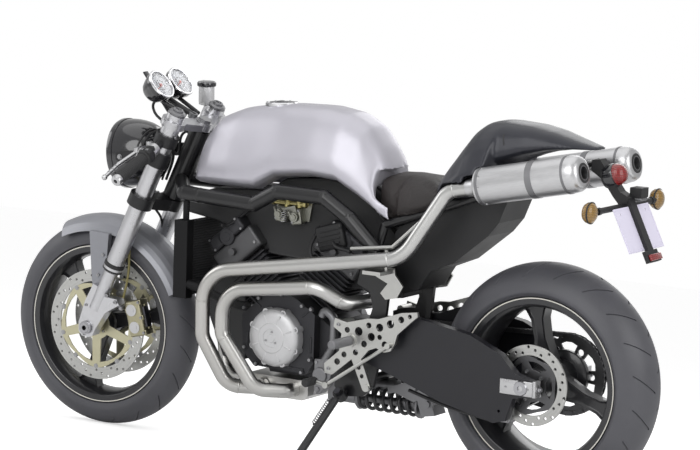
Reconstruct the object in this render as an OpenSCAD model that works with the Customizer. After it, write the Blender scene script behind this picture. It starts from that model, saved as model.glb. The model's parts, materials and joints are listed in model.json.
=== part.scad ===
/* [Chassis] */
// Distance between the two axles
wheelbase = 1448; // [1360:1:1560]
// Angle of the steering axis from the vertical, in degrees
rake = 24.5; // [22:0.5:28]
// Distance from the steering axis forward to the fork tubes
fork_offset = 35; // [25:1:45]
// Half the distance between the two fork tubes
fork_half = 105; // [98:1:118]
// Lean onto the side stand, in degrees
lean = 9; // [6:0.5:12]
// How far the bars are turned to the left at rest, in degrees
bar_turn = 3; // [0:1:8]

/* [Wheels] */
// Outer radius of the front tyre
front_tyre_r = 300; // [290:1:310]
// Width of the front tyre
front_tyre_w = 122; // [110:1:130]
// Outer radius of the rear tyre
rear_tyre_r = 315; // [305:1:325]
// Width of the rear tyre
rear_tyre_w = 182; // [160:1:190]
// Radius of both rims at the flange
rim_r = 230; // [225:1:234]
// Overall width of the front rim
front_rim_w = 106; // [96:1:110]
// Overall width of the rear rim
rear_rim_w = 154; // [140:1:160]
// Radius of the two front brake discs
front_disc_r = 160; // [140:1:165]
// Radius of the rear brake disc
rear_disc_r = 108; // [95:1:120]
// Thickness of every brake disc
disc_t = 5; // [4:0.5:6]
// Outer radius of the rear sprocket
sprocket_r = 104; // [92:1:112]

/* [Fork] */
// Outer radius of the upper fork tube
fork_tube_r = 26; // [24:0.5:28]
// Outer radius of the lower fork slider
fork_slider_r = 21; // [19:0.5:23]
// Thickness of the top yoke
top_yoke_t = 20; // [16:1:26]
// Thickness of the lower yoke
lower_yoke_t = 34; // [28:1:40]
// Radius of the steering stem
stem_r = 14; // [12:0.5:15]

/* [Frame and swingarm] */
// Radius of the two frame beams
beam_r = 21; // [17:0.5:24]
// Distance of each beam's centre from the middle
beam_half = 132; // [128:1:140]
// Inner face of each swingarm arm, from the middle
arm_in = 131; // [129:1:134]
// Thickness of each swingarm arm
arm_t = 27; // [22:1:32]
// Radius of the rear axle
rear_axle_r = 12; // [10:0.5:13]
// Radius of the front axle
front_axle_r = 11; // [9:0.5:12]
// Radius of the hole through the front axle
front_axle_bore_r = 7; // [5:0.5:8]
// Radius of the hole through the rear axle
rear_axle_bore_r = 7.5; // [5:0.5:9]
// Radius of the stand threads in the swingarm
spool_hole_r = 4; // [3:0.5:5]
// Radius of the mirror threads in the lever perches
mirror_hole_r = 5; // [4:0.5:6]
// Radius of the number plate's fixing holes
plate_hole_r = 3; // [2:0.5:4]

/* [Exhaust] */
// Radius of the exhaust pipes
pipe_r = 20; // [17:0.5:21]
// Radius of the two silencers
silencer_r = 46; // [40:1:48]
// Distance of each silencer's axis from the middle
silencer_half = 150; // [148:1:160]
// Length of each silencer
silencer_l = 344; // [310:1:370]

/* [Engine] */
// Half the width of the crankcase
case_half = 122; // [110:1:126]
// Radius of the left generator cover
cover_r = 82; // [72:1:86]
// Half the width of each cylinder
cylinder_half = 82; // [70:1:88]

/* [Stand and footrests] */
// Radius of the side stand's leg
stand_r = 11; // [9:0.5:13]
// Thickness of the footrest plates
hanger_t = 9; // [7:1:11]
// Radius of each footrest peg
peg_r = 12; // [10:0.5:14]

/* [Hidden] */
$fn = 48;

seat_gap = 0.3;      // gap between two pieces that seat on each other
run_gap = 0.3;       // running clearance round an axle or stem

// The bike's own frame: X forward, Y left, Z up, the rear wheel touching the ground at the origin.
rear_axle = [0, 0, rear_tyre_r];
front_axle = [wheelbase, 0, front_tyre_r];
front_crown_r = front_tyre_w / 2 + 1;
rear_crown_r = rear_tyre_w / 2 + 3;
stance_rise = rear_crown_r * (1 - cos(lean));   // lifts the leaned bike back onto its rear tyre
box_middle = [716.3, 117.7];   // middle of the leaned bike's box, where the origin goes

// Steering geometry: up the fork, and from the steering axis back to the tubes.
fork_up = [-sin(rake), 0, cos(rake)];
fork_back = [-cos(rake), 0, -sin(rake)];
steer_point = front_axle + fork_offset * fork_back;
function on_fork(t) = front_axle + t * fork_up;
function on_stem(t) = steer_point + t * fork_up;
lower_yoke_at = 422;     // centre of the lower yoke, up the fork from the axle
top_yoke_at = 672;       // centre of the top yoke
fork_top_at = 700;       // top of the fork caps
tube_end_at = 205;       // lower end of the upper tubes

// ---------- small helpers ----------

// Places a child made along +Z so that it runs from p towards q.
module from_to(p, q) {
    d = q - p;
    translate(p) rotate([0, acos(d.z / norm(d)), atan2(d.y, d.x)]) children();
}
module rod(p, q, r) {
    from_to(p, q) cylinder(r = r, h = norm(q - p));
}
// A welded run of straight tubes, with a slightly fuller ball at each bend.
module tube_run(points, r) {
    for (i = [0 : len(points) - 2]) rod(points[i], points[i + 1], r);
    for (i = [1 : len(points) - 2]) translate(points[i]) sphere(r = r * 1.04);
}
module both_sides() {
    children();
    mirror([0, 1, 0]) children();
}
// Turns a shape made about Z into one about Y, with its +Z face to the left.
module about_y() rotate([-90, 0, 0]) children();
// A flat plate drawn in X and Z, from y0 to y1.
module side_plate(y0, y1) translate([0, y1, 0]) rotate([90, 0, 0]) linear_extrude(y1 - y0) children();

function unit(v) = v / norm(v);
// The points of a bent centreline: each corner of the route becomes an arc of the given radius.
function bend_points(route, radius, steps) = [
    for (i = [0 : len(route) - 1])
        if (i == 0 || i == len(route) - 1) route[i]
        else let (
            a = unit(route[i - 1] - route[i]),
            b = unit(route[i + 1] - route[i]),
            half = acos(max(-1, min(1, a * b))) / 2,
            back = radius[i] / tan(half),
            middle = route[i] + unit(a + b) * radius[i] / sin(half),
            p = route[i] + a * back,
            q = route[i] + b * back,
            sweep = 180 - 2 * half
        ) each [for (k = [0 : steps])
            let (u = unit(p - middle), v = unit(q - middle), s = sweep * k / steps)
                middle + radius[i] * (u * sin(sweep - s) + v * sin(s)) / sin(sweep)]
];
// A round tube swept along a list of points.
module swept(points, r, sides = 14) {
    n = len(points);
    ways = [for (i = [0 : n - 1]) unit(points[min(i + 1, n - 1)] - points[max(i - 1, 0)])];
    function square_to(d, v) = unit(v - d * (d * v));
    start = abs(ways[0].z) < 0.8 ? [0, 0, 1] : [1, 0, 0];
    function sides_at(i) = i == 0 ? square_to(ways[0], start) : square_to(ways[i], sides_at(i - 1));
    rings = [for (i = [0 : n - 1]) let (u = sides_at(i), v = cross(ways[i], u))
        each [for (k = [0 : sides - 1]) points[i] + r * (u * cos(360 * k / sides) + v * sin(360
            * k / sides))]];
    polyhedron(rings, concat(
        [[for (k = [0 : sides - 1]) k]],
        [for (i = [0 : n - 2], k = [0 : sides - 1]) let (m = (k + 1) % sides)
            [i * sides + k, (i + 1) * sides + k, (i + 1) * sides + m, i * sides + m]],
        [[for (k = [sides - 1 : -1 : 0]) (n - 1) * sides + k]]));
}
// A solid lofted from front to back.
// Each row is [x, bottom, top, half width at the bottom, half width at the top].
function soft(v, power) = sign(v) * pow(abs(v), power);
module lofted(rows, power = 0.6, sides = 24) {
    n = len(rows);
    rings = [for (row = rows) each [for (k = [0 : sides - 1]) let (
        a = 360 * (k + 0.5) / sides,
        rise = (soft(sin(a), power) + 1) / 2,
        half = row[3] + (row[4] - row[3]) * rise)
        [row[0], half * soft(cos(a), power), row[1] + (row[2] - row[1]) * rise]]];
    polyhedron(rings, concat(
        [[for (k = [sides - 1 : -1 : 0]) k]],
        [for (i = [0 : n - 2], k = [0 : sides - 1]) let (m = (k + 1) % sides)
            [i * sides + m, (i + 1) * sides + m, (i + 1) * sides + k, i * sides + k]],
        [[for (k = [0 : sides - 1]) (n - 1) * sides + k]]));
}

// ---------- placing ----------

// Sets the upright bike down on its side stand.
module leaned() {
    translate([-box_middle.x, -box_middle.y, stance_rise]) rotate([-lean, 0, 0]) children();
}
// Turns the front end about the steering axis.
module steered() {
    leaned() translate(steer_point) rotate([0, -rake, 0]) rotate([0, 0, bar_turn]) rotate([0, rake, 0])
        translate(-steer_point) children();
}
module at_front_wheel() translate(front_axle) about_y() children();
module at_rear_wheel() translate(rear_axle) about_y() children();

// ---------- wheels ----------

rim_flange = 6;       // thickness of the rim's flange
rim_bed = 16;         // depth of the tyre's seat below the flange
rim_wall = 10;        // thickness of the rim under the tyre's seat
bed_r = rim_r - rim_bed;
spoke_count = 3;
front_hub_r = 34;
rear_hub_r = 44;
front_disc_y = 62;    // middle of each front disc
rear_disc_y = 105;
chain_y = 105;        // middle of the chain, to the right
chain_w = 18;
front_sprocket = [610, -chain_y, 356];
front_sprocket_r = 36;
front_spoke_turn = 48;
rear_spoke_turn = 78;

// Tyre section, [radius, offset], its tread one arc and its sides closing on the rim.
module tyre(outer_r, width, crown_r, rim_w) {
    bead = rim_w / 2 - rim_flange - seat_gap;
    side = asin(width / 2 / crown_r);
    shoulder = outer_r - crown_r + crown_r * cos(side);
    arc = [for (k = [-10 : 10]) let (a = side * k / 10)
        [outer_r - crown_r + crown_r * cos(a), crown_r * sin(a)]];
    wall = [[(shoulder + rim_r) / 2 + 4, width / 2 - 1], [rim_r + 2, rim_w / 2 + 2],
        [rim_r + 1, bead], [bed_r + seat_gap, bead]];
    rotate_extrude() polygon(concat(arc, wall, [for (k = [len(wall) - 1 : -1 : 0]) [wall[k].x,
        -wall[k].y]]));
}
module rim_ring(width) {
    h = width / 2;
    well = bed_r - rim_wall;
    rotate_extrude() polygon([[rim_r, h], [rim_r, h - rim_flange], [bed_r, h - rim_flange],
        [bed_r, rim_flange - h], [rim_r, rim_flange - h], [rim_r, -h], [bed_r - 4, -h],
        [well, 12 - h], [well - 6, 0], [well, h - 12], [bed_r - 4, h]]);
}
// Three flat spokes that widen at the hub and at the rim.
module spokes(hub_r, depth, turn) {
    reach = bed_r - 8;
    for (k = [0 : spoke_count - 1]) rotate([0, 0, turn + 360 * k / spoke_count])
        translate([0, 0, -depth / 2]) linear_extrude(depth)
            polygon([[0, -hub_r * 0.8], [hub_r * 1.4, -hub_r * 0.62], [reach * 0.55, -16], [reach * 0.8,
                -18],
                [reach * 0.92, -28], [reach, -46], [reach, 46], [reach * 0.92, 28], [reach * 0.8, 18],
                [reach * 0.55, 16], [hub_r * 1.4, hub_r * 0.62], [0, hub_r * 0.8]]);
}
module front_tyre() {
    color("#26262a") steered() at_front_wheel() tyre(front_tyre_r, front_tyre_w, front_crown_r,
        front_rim_w);
}
module rear_tyre() {
    color("#26262a") leaned() at_rear_wheel() tyre(rear_tyre_r, rear_tyre_w, rear_crown_r, rear_rim_w);
}
front_hub_half = front_disc_y - disc_t / 2 - seat_gap;
module front_rim() {
    color("#18181a") steered() at_front_wheel() difference() {
        union() {
            rim_ring(front_rim_w);
            spokes(front_hub_r, 34, front_spoke_turn);
            cylinder(r = front_hub_r, h = 2 * front_hub_half, center = true);
        }
        cylinder(r = front_axle_r + run_gap, h = 200, center = true);
    }
}
rear_hub_left = rear_disc_y - disc_t / 2 - seat_gap;
sprocket_t = 7;
rear_hub_right = chain_y - sprocket_t / 2 - seat_gap;
module rear_rim() {
    color("#18181a") leaned() at_rear_wheel() difference() {
        union() {
            rim_ring(rear_rim_w);
            spokes(rear_hub_r, 44, rear_spoke_turn);
            translate([0, 0, -rear_hub_right]) cylinder(r = rear_hub_r, h = rear_hub_right + rear_hub_left);
            translate([0, 0, -rear_hub_right]) cylinder(r = 70, h = 26);
        }
        cylinder(r = rear_axle_r + run_gap, h = 300, center = true);
    }
}
// A brake disc: the braking ring on a lighter carrier with cut-outs.
module disc(radius, hub_bore, bolt_r) {
    difference() {
        cylinder(r = radius, h = disc_t, center = true);
        cylinder(r = hub_bore, h = 20, center = true);
        for (k = [0 : 4]) rotate([0, 0, 72 * k]) translate([radius * 0.52, 0, 0])
            cylinder(r = radius * 0.13, h = 20, center = true);
        for (k = [0 : 4]) rotate([0, 0, 72 * k + 36]) translate([bolt_r, 0, 0])
            cylinder(r = 4, h = 20, center = true);
    }
}
module front_brake_discs() {
    color("#b8b8b4") steered() at_front_wheel() for (s = [-1, 1])
        translate([0, 0, s * front_disc_y]) disc(front_disc_r, front_axle_r + 8, 42);
}
module rear_brake_disc() {
    color("#a8a8a8") leaned() at_rear_wheel() translate([0, 0, rear_disc_y])
        disc(rear_disc_r, rear_axle_r + 8, 38);
}
module rear_sprocket() {
    color("#4a4a4c") leaned() at_rear_wheel() translate([0, 0, -chain_y]) difference() {
        cylinder(r = sprocket_r, h = sprocket_t, center = true);
        cylinder(r = rear_axle_r + 10, h = 20, center = true);
        for (k = [0 : 5]) rotate([0, 0, 60 * k]) translate([sprocket_r * 0.78, 0, 0])
            cylinder(r = 8, h = 20, center = true);
    }
}

// ---------- front end ----------

axle_foot_in = fork_half - 20;      // inner face of each axle clamp
axle_foot_out = fork_half + 14;
fork_caps_r = fork_tube_r - 5;
axle_head = 8;          // thickness of the axle's heads
module front_axle() {
    color("#9a9aa0") steered() at_front_wheel() {
        difference() {
            union() {
                cylinder(r = front_axle_r, h = 2 * (axle_foot_out + 1), center = true);
                for (s = [-1, 1]) translate([0, 0, s * (axle_foot_out + 1 + axle_head / 2)])
                    cylinder(r = front_axle_r + 6, h = axle_head, center = true);
            }
            cylinder(r = front_axle_bore_r, h = 500, center = true);
        }
    }
}
// The axle clamp at the bottom of a leg, with the lugs that carry the caliper behind it.
module axle_foot() {
    difference() {
        translate(front_axle) side_plate(axle_foot_in, axle_foot_out)
            polygon([[14, -26], [26, -12], [26, 14], [4, 78], [-24, 130], [-62, 112], [-58, 96], [-104, 92],
                [-112, 76], [-84, 60], [-64, 48], [-30, -4], [-22, -22], [-8, -28]]);
        translate(front_axle) about_y() cylinder(r = front_axle_r + seat_gap, h = 300);
    }
}
module fork_leg() {
    translate([0, fork_half, 0]) {
        rod(on_fork(tube_end_at), on_fork(fork_top_at), fork_tube_r);
        rod(on_fork(fork_top_at - 1), on_fork(fork_top_at + 10), fork_caps_r);
        rod(on_fork(60), on_fork(tube_end_at + 1), fork_slider_r);
        rod(on_fork(tube_end_at - 14), on_fork(tube_end_at + 8), fork_tube_r + 3);
    }
    axle_foot();
}
module left_fork_leg() color("#d8d8dc") steered() fork_leg();
module right_fork_leg() color("#d8d8dc") steered() mirror([0, 1, 0]) fork_leg();

// A yoke lies square to the fork, its clamps round the tubes and its boss on the stem.
module yoke(t, thick, clamp_r, boss_r) {
    translate(on_fork(t)) rotate([0, -rake, 0]) translate([0, 0, -thick / 2]) difference() {
        union() {
            both_sides() translate([0, fork_half, 0]) cylinder(r = clamp_r, h = thick);
            translate([-fork_offset, 0, 0]) cylinder(r = boss_r, h = thick);
            linear_extrude(thick) polygon([[12, -fork_half], [-6, -boss_r], [-6, boss_r], [12, fork_half],
                [-22, fork_half], [-fork_offset - 18, boss_r], [-fork_offset - 18, -boss_r], [-22,
                    -fork_half]]);
        }
        both_sides() translate([0, fork_half, -1]) cylinder(r = fork_tube_r + seat_gap, h = thick + 2);
        if (clamp_r == top_clamp_r) translate([-fork_offset, 0, -1]) cylinder(r = stem_r + seat_gap,
            h = thick + 2);
    }
}
top_clamp_r = fork_tube_r + 9;
lower_clamp_r = fork_tube_r + 11;
head_r = 30;
module lower_yoke() {
    color("#1c1c1e") steered() union() {
        yoke(lower_yoke_at, lower_yoke_t, lower_clamp_r, 32);
        rod(on_stem(lower_yoke_at), on_stem(top_yoke_at + top_yoke_t / 2 + 3), stem_r);
    }
}
module top_yoke() color("#c4c4c8") steered() yoke(top_yoke_at, top_yoke_t, top_clamp_r, 26);

guard_gap = 14;       // from the tread to the mudguard
guard_t = 3;
guard_front = 26;     // how far it reaches forward of the top, in degrees
guard_rear = 66;
module front_mudguard() {
    inner = front_crown_r + guard_gap;
    middle = front_tyre_r - front_crown_r;
    half_arc = 64;
    color("#55555c") steered() {
        translate(front_axle) rotate([90, 0, 0]) rotate([0, 0, 90 - guard_front])
            rotate_extrude(angle = guard_front + guard_rear) polygon(concat(
                [for (k = [-6 : 6]) [middle + (inner + guard_t) * cos(half_arc * k / 6), (inner
                    + guard_t) * sin(half_arc * k / 6)]],
                [for (k = [6 : -1 : -6]) [middle + inner * cos(half_arc * k / 6), inner * sin(half_arc
                    * k / 6)]]));
        both_sides() guard_stay();
    }
}
// The leg of the mudguard that comes down to the fork's axle clamp.
stay_y = front_disc_y + disc_t / 2 + 3;
module guard_stay() {
    translate(front_axle) side_plate(stay_y, axle_foot_in - seat_gap)
        polygon([[14, 276], [-52, 272], [-46, 200], [-30, 134], [-2, 84], [6, 150]]);
}
caliper_angle = 14;   // above the horizontal, behind the axle
caliper_l = 112;
caliper_w = 74;
caliper_d = 62;
pad_gap = 2;          // clearance each side of a disc in its caliper
module caliper(radius, disc_y, width) {
    translate([-radius + caliper_d / 2 - 18, 0, 0]) difference() {
        translate([0, disc_y, 0]) cube([caliper_d, width, caliper_l], center = true);
        translate([-caliper_d / 2 + 10 + radius, disc_y, 0]) cube([2 * radius, disc_t + 2 * pad_gap, 2
            * radius], center = true);
    }
}
module front_calipers() {
    color("#8a8a5c") steered() both_sides() translate(front_axle) rotate([0, caliper_angle, 0])
        difference() {
            caliper(front_disc_r, front_disc_y, caliper_w);
            translate([0, fork_half, 0]) cube([1000, 2 * (fork_half - axle_foot_in + seat_gap), 1000],
                center = true);
        }
}

// ---------- lights, clocks and bars ----------

lamp_middle = [wheelbase - 106, 0, front_tyre_r + 502];
lamp_r = 100;
lamp_tilt = 6;
module headlight() {
    color("#1a1a1c") steered() translate(lamp_middle) rotate([0, 90 + lamp_tilt, 0]) union() {
        rotate_extrude() polygon([[0, -86], [30, -84], [58, -70], [80, -46], [92, -16], [lamp_r - 3, 20],
            [lamp_r, 32], [lamp_r, 52], [lamp_r - 8, 58], [60, 68], [0, 74]]);
        rotate([90, 0, 0]) cylinder(r = 11, h = 2 * (lamp_r + 6), center = true);
    }
}
ear_at = 560;         // where the headlight's bracket clamps the fork, up from the axle
module headlight_bracket() {
    color("#202022") steered() both_sides() difference() {
        union() {
            translate([0, fork_half, 0]) rod(on_fork(ear_at - 22), on_fork(ear_at + 22), fork_tube_r + 6);
            side_plate(lamp_r + 6 + seat_gap, lamp_r + 13) polygon([[on_fork(ear_at).x,
                on_fork(ear_at).z - 20],
                [lamp_middle.x - 4, lamp_middle.z - 17], [lamp_middle.x + 14, lamp_middle.z - 8],
                [lamp_middle.x + 14, lamp_middle.z + 10], [lamp_middle.x - 4, lamp_middle.z + 17],
                [on_fork(ear_at).x, on_fork(ear_at).z + 22]]);
        }
        translate([0, fork_half, 0]) rod(on_fork(ear_at - 60), on_fork(ear_at + 60), fork_tube_r
            + seat_gap);
    }
}
clock_half = 50;      // each clock's centre from the middle
clock_r = 46;
clock_point = [wheelbase - 198, 0, front_tyre_r + 705];
clock_tilt = 52;      // back from facing up, in degrees
module instruments() {
    color("#2c2c30") steered() union() {
        both_sides() translate(clock_point + [0, clock_half, 0]) rotate([0, -clock_tilt, 0])
            rotate_extrude() polygon([[0, -46], [26, -46], [36, -34], [clock_r - 3, -10], [clock_r, -6],
                [clock_r, 8], [clock_r - 4, 10], [0, 10]]);
        translate(clock_point) rotate([0, -clock_tilt, 0]) translate([-10, 0, -24]) cube([26, 2
            * clock_half - 20, 18], center = true);
        difference() {
            rod(on_fork(top_yoke_at) - [4, 0, 0], clock_point + [14, 0, -14], 9);
            translate(on_fork(top_yoke_at - 100)) rotate([0, -rake, 0])
                cube([400, 400, top_yoke_t + 200 + 2 * seat_gap], center = true);
        }
    }
}
bar_at = 620;         // clip-on clamp, up the fork from the axle
bar_drop = 92;
bar_reach = 226;
bar_r = 11;
grip_r = 16.5;
grip_l = 122;
bar_root = on_fork(bar_at) + [0, fork_half, 0];
bar_way = unit([14, bar_reach, -bar_drop]);
bar_end = bar_root + bar_way * (bar_reach + 8);
module clip_on() {
    difference() {
        union() {
            rod(on_fork(bar_at - 16) + [0, fork_half, 0], on_fork(bar_at + 16) + [0, fork_half, 0],
                fork_tube_r + 8);
            rod(bar_root, bar_end, bar_r);
            rod(bar_end - bar_way * grip_l, bar_end + bar_way * 2, grip_r);
            rod(bar_end + bar_way * 1, bar_end + bar_way * 16, grip_r - 3);
        }
        translate([0, fork_half, 0]) rod(on_fork(bar_at - 60), on_fork(bar_at + 60), fork_tube_r
            + seat_gap);
    }
}
module left_handlebar() color("#38383c") steered() clip_on();
module right_handlebar() color("#38383c") steered() mirror([0, 1, 0]) clip_on();

// A lever on its perch. The perch clamps the bar and carries the mirror's threaded hole on top.
perch_at = 72;        // from the bar's root
perch_w = 26;
mirror_hole_l = 16;
perch_point = bar_root + bar_way * perch_at;
mirror_boss = perch_point + [24, -23, 6];   // inboard, clear of the reservoir's cap
mirror_wall = 4.5;    // around the mirror's thread
module lever_and_perch(master) {
    pivot = perch_point + [44, 6, -4];
    tip = bar_end + [52, -6, -2];
    difference() {
        union() {
            from_to(perch_point - bar_way * perch_w / 2, perch_point + bar_way * perch_w / 2)
                cylinder(r = bar_r + 8, h = perch_w);
            rod(perch_point + [8, 0, 0], pivot, 10);
            rod(perch_point + [6, -4, 0], mirror_boss, 8);
            translate(mirror_boss - [0, 0, 12]) cylinder(r = mirror_hole_r + mirror_wall, h = mirror_hole_l + 12);
            translate(pivot - [0, 0, 10]) cylinder(r = 11, h = 20);
            rod(pivot, pivot + (tip - pivot) * 0.5 + [8, 0, 0], 6);
            rod(pivot + (tip - pivot) * 0.5 + [8, 0, 0], tip, 5.5);
            translate(pivot + (tip - pivot) * 0.5 + [8, 0, 0]) sphere(r = 6.3);
            translate(tip) sphere(r = 8);
            if (master) {
                rod(perch_point + [40, -30, 6], pivot, 13);
                rod(perch_point + [42, -10, 6], perch_point + [42, 6, 100], 7);
                translate(perch_point + [42, 6, 96]) cylinder(r = 22, h = 56);
                translate(perch_point + [42, 6, 151]) cylinder(r = 26, h = 10);
            }
        }
        rod(bar_root, bar_end, bar_r + seat_gap);
        translate(mirror_boss) cylinder(r = mirror_hole_r, h = mirror_hole_l + 1);
    }
}
module clutch_lever() color("#b8b8bc") steered() lever_and_perch(false);
module brake_lever() color("#b8b8bc") steered() mirror([0, 1, 0]) lever_and_perch(true);

// ---------- frame ----------

pivot = [500, 0, 372];
pivot_r = 17;
head_low = lower_yoke_at + lower_yoke_t / 2 + 3;
head_high = top_yoke_at - top_yoke_t / 2 - 3;
// Beam route in X and Z: from the steering head back under the tank and down to the pivot plates.
beam_route = [[1104, 722], [1050, 718], [868, 712], [792, 754], [640, 752], [560, 704], [464, 618]];
beam_points = [for (p = beam_route) [p[0], beam_half, p[1]]];
plate_in = beam_half - 16;     // the pivot plates, between the chain and the swingarm
plate_out = beam_half - 4;
module pivot_plate() {
    side_plate(plate_in, plate_out) polygon([[478, 632], [424, 584], [430, 520], [440, 420], [452, 330],
        [470, 250], [500, 222], [572, 214], [592, 240], [590, 300], [588, 350], [560, 366], [560, 420],
        [528, 432], [488, 438], [478, 470], [490, 512], [530, 528], [512, 600]]);
}
module main_frame($fn = 24) {
    color("#161618") leaned() union() {
        difference() {
            union() {
                rod(on_stem(head_low), on_stem(head_high), head_r);
                both_sides() {
                    rod(on_stem(head_low + 60), beam_points[0], beam_r * 0.9);
                    translate(beam_points[0]) sphere(r = beam_r * 1.04);
                }
            }
            rod(on_stem(head_low - 100), on_stem(head_high + 100), stem_r + run_gap);
        }
        both_sides() {
            tube_run(beam_points, beam_r);
            pivot_plate();
        }
        rod([470, -plate_out, 560], [470, plate_out, 560], 16);
        rod([520, -plate_out, 258], [520, plate_out, 258], 12);
        rod(pivot - [0, arm_out, 0], pivot + [0, arm_out, 0], pivot_r);
        stand_lug();
    }
}
rail_r = 12;
rail_foot = [492, beam_half - beam_r - rail_r - seat_gap, 606];
rail_low = [470, 92, 690];
rail_high = [-92, 52, 898];
module seat_subframe() {
    color("#1b1b1d") leaned() union() {
        both_sides() {
            rod(rail_foot, rail_low, rail_r);
            translate(rail_low) sphere(r = rail_r * 1.04);
            rod(rail_low, rail_high, rail_r);
        }
        for (p = [rail_low, rail_high]) rod([p.x, -p.y, p.z], p, rail_r * 0.9);
    }
}

// ---------- bodywork ----------

// Tank rows: [x, bottom, top, half width at the bottom, half width at the top].
tank_rows = [[1106, 748, 806, 86, 60], [1084, 744, 884, 118, 62], [1040, 742, 936, 140, 66], [970, 742,
    964, 154, 72],
    [880, 744, 980, 160, 78], [812, 784, 986, 160, 82], [700, 796, 988, 158, 86], [620, 790, 976, 150, 84],
    [560, 756, 946, 140, 76], [514, 728, 890, 132, 66], [484, 706, 836, 128, 62], [450, 692, 794, 124, 84]];
module fuel_tank() {
    color("#b4b4bc") leaned() difference() {
        lofted(tank_rows, 0.55, 28);
        translate([300, -76, 600]) cube([840, 152, 190]);
        translate([300, -seat_nose, 600]) cube([seat_front - 300 + seat_gap, 2 * seat_nose, 234]);
        rail_room();
    }
}
seat_rows = [[506, 690, 822, 80, 74], [476, 690, 818, 94, 84], [446, 692, 815, 98, 92], [428, 698, 813,
    118, 98],
    [380, 716, 811, 126, 108], [340, 732, 813, 126, 108], [303, 748, 820, 118, 104]];
seat_front = 506;
seat_nose = 100;      // half the room the tank leaves for the seat's nose
module seat() {
    color("#2a2422") leaned() difference() {
        lofted(seat_rows, 0.5, 20);
        rail_room();
    }
}
// Room for the subframe's rails.
module rail_room() {
    both_sides() {
        rod(rail_foot, rail_low, rail_r + seat_gap);
        translate(rail_low) sphere(r = rail_r * 1.04 + seat_gap);
        rod(rail_low, rail_high, rail_r + seat_gap);
    }
    for (p = [rail_low, rail_high]) rod([p.x, -p.y, p.z], p, rail_r * 0.9 + seat_gap);
}
cowl_rows = [[302, 802, 832, 104, 84], [286, 790, 856, 164, 94], [264, 784, 892, 194, 94], [240, 783,
    932, 204, 90],
    [216, 786, 968, 207, 86], [192, 793, 986, 207, 84], [168, 802, 993, 206, 84], [146, 811, 995, 202, 84],
    [138, 876, 995, 122, 84], [60, 908, 990, 106, 78], [0, 926, 979, 92, 64], [-60, 936, 962, 70, 44],
    [-122, 938, 946, 34, 24]];
module tail_cowl() {
    color("#3a3a40") leaned() difference() {
        lofted(cowl_rows, 0.62, 24);
        rail_room();
        both_sides() exhaust_room();
    }
}
// Room inside the cowl's sides for the end of each pipe and the neck of its silencer.
module exhaust_room() {
    bend = silencer_start - silencer_way * 60;
    swept([[352, pipe_y - 8, 622], bend, silencer_start + silencer_way], pipe_r + 6);
    swept([silencer_start - silencer_way * 4, silencer_start + silencer_way * (neck_l - 5)], pipe_r + 15);
    swept([silencer_start + silencer_way * (neck_l - 6), silencer_start + silencer_way * silencer_l],
        silencer_r + 4);
}
tray_half = 70;
module rear_mudguard() {
    color("#1d1d1f") leaned() difference() {
        side_plate(-tray_half, tray_half) polygon([[452, 664], [440, 560], [420, 505], [372, 522], [338,
            575],
            [269, 604], [166, 688], [134, 727], [110, 786], [110, 815], [300, 744], [318, 737], [360, 719],
            [420, 695], [440, 686]]);
        rail_room();
        rod([470, -plate_out, 560], [470, plate_out, 560], 16 + seat_gap);
    }
}

// ---------- engine ----------

crank = [775, 0, 352];
front_bank = 40;      // degrees forward of upright
rear_bank = 32;       // degrees back of upright
barrel_l = 130;
head_l = 108;
barrel_start = 120;
gearbox_half = chain_y - chain_w / 2 - 4;   // the rear of the case, inside the chain
module crankcase() {
    color("#3c3c40") leaned() difference() {
        union() {
            side_plate(-case_half, case_half) polygon([[666, 290], [666, 452], [700, 452], [775, 480],
                [850, 462], [905, 430], [900, 300], [862, 262], [690, 258]]);
            side_plate(-gearbox_half, gearbox_half) polygon([[570, 300], [566, 352], [608, 376], [670, 416],
                [670, 262], [610, 268]]);
            side_plate(-70, 70) polygon([[660, 264], [852, 264], [840, 240], [690, 240]]);
            rod([front_sprocket.x, -gearbox_half + 1, front_sprocket.z], [front_sprocket.x, -chain_y
                + chain_w / 2 - 3,
                front_sprocket.z], front_sprocket_r - 4);
        }
        for (bank = [front_bank, -rear_bank]) translate(crank) rotate([0, bank, 0])
            translate([-100, -200, barrel_start]) cube([200, 400, 200]);
    }
}
module left_engine_cover() {
    color("#c8c8cc") leaned() {
        translate([crank.x + 5, case_half + seat_gap, crank.z]) about_y() {
            cylinder(r = cover_r, h = 30);
            translate([0, 0, 29]) cylinder(r1 = cover_r, r2 = cover_r - 9, h = 10);
            translate([0, 0, 38]) cylinder(r = cover_r * 0.46, h = 4);
        }
        pump_housing();
    }
}
// The pump's housing low behind the generator, and the pipe that curls up from it.
module pump_housing() {
    side_plate(gearbox_half + seat_gap, 128) polygon([[662, 306], [600, 312], [596, 280], [616, 234],
        [640, 208],
        [662, 206]]);
    swept(bend_points([[634, 116, 300], [606, 118, 344], [604, 118, 422], [638, 116, 444], [647, 112, 424]],
        [0, 26, 24, 12, 0], 5), 12);
}
module right_engine_cover() {
    color("#77777c") leaned() translate([crank.x - 30, -case_half - seat_gap, crank.z]) rotate([90, 0, 0]) {
        cylinder(r = cover_r + 10, h = 30);
        translate([0, 0, 29]) cylinder(r1 = cover_r + 10, r2 = cover_r - 4, h = 14);
    }
}
head_half = 80;       // half the length of each head, fore and aft
function along_bank(bank, up, out) = crank + [up * sin(bank) + out * cos(bank), 0, up * cos(bank) - out
    * sin(bank)];
port_up = barrel_start + barrel_l + head_l * 0.4;
front_port = along_bank(front_bank, port_up, head_half);
front_port_way = [cos(front_bank), 0, -sin(front_bank)];
rear_port = along_bank(-rear_bank, port_up, -head_half);
rear_port_way = [-cos(rear_bank), 0, -sin(rear_bank)];
front_intake = along_bank(front_bank, port_up, -head_half);
rear_intake = along_bank(-rear_bank, port_up, head_half);
fin_count = 6;
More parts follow.
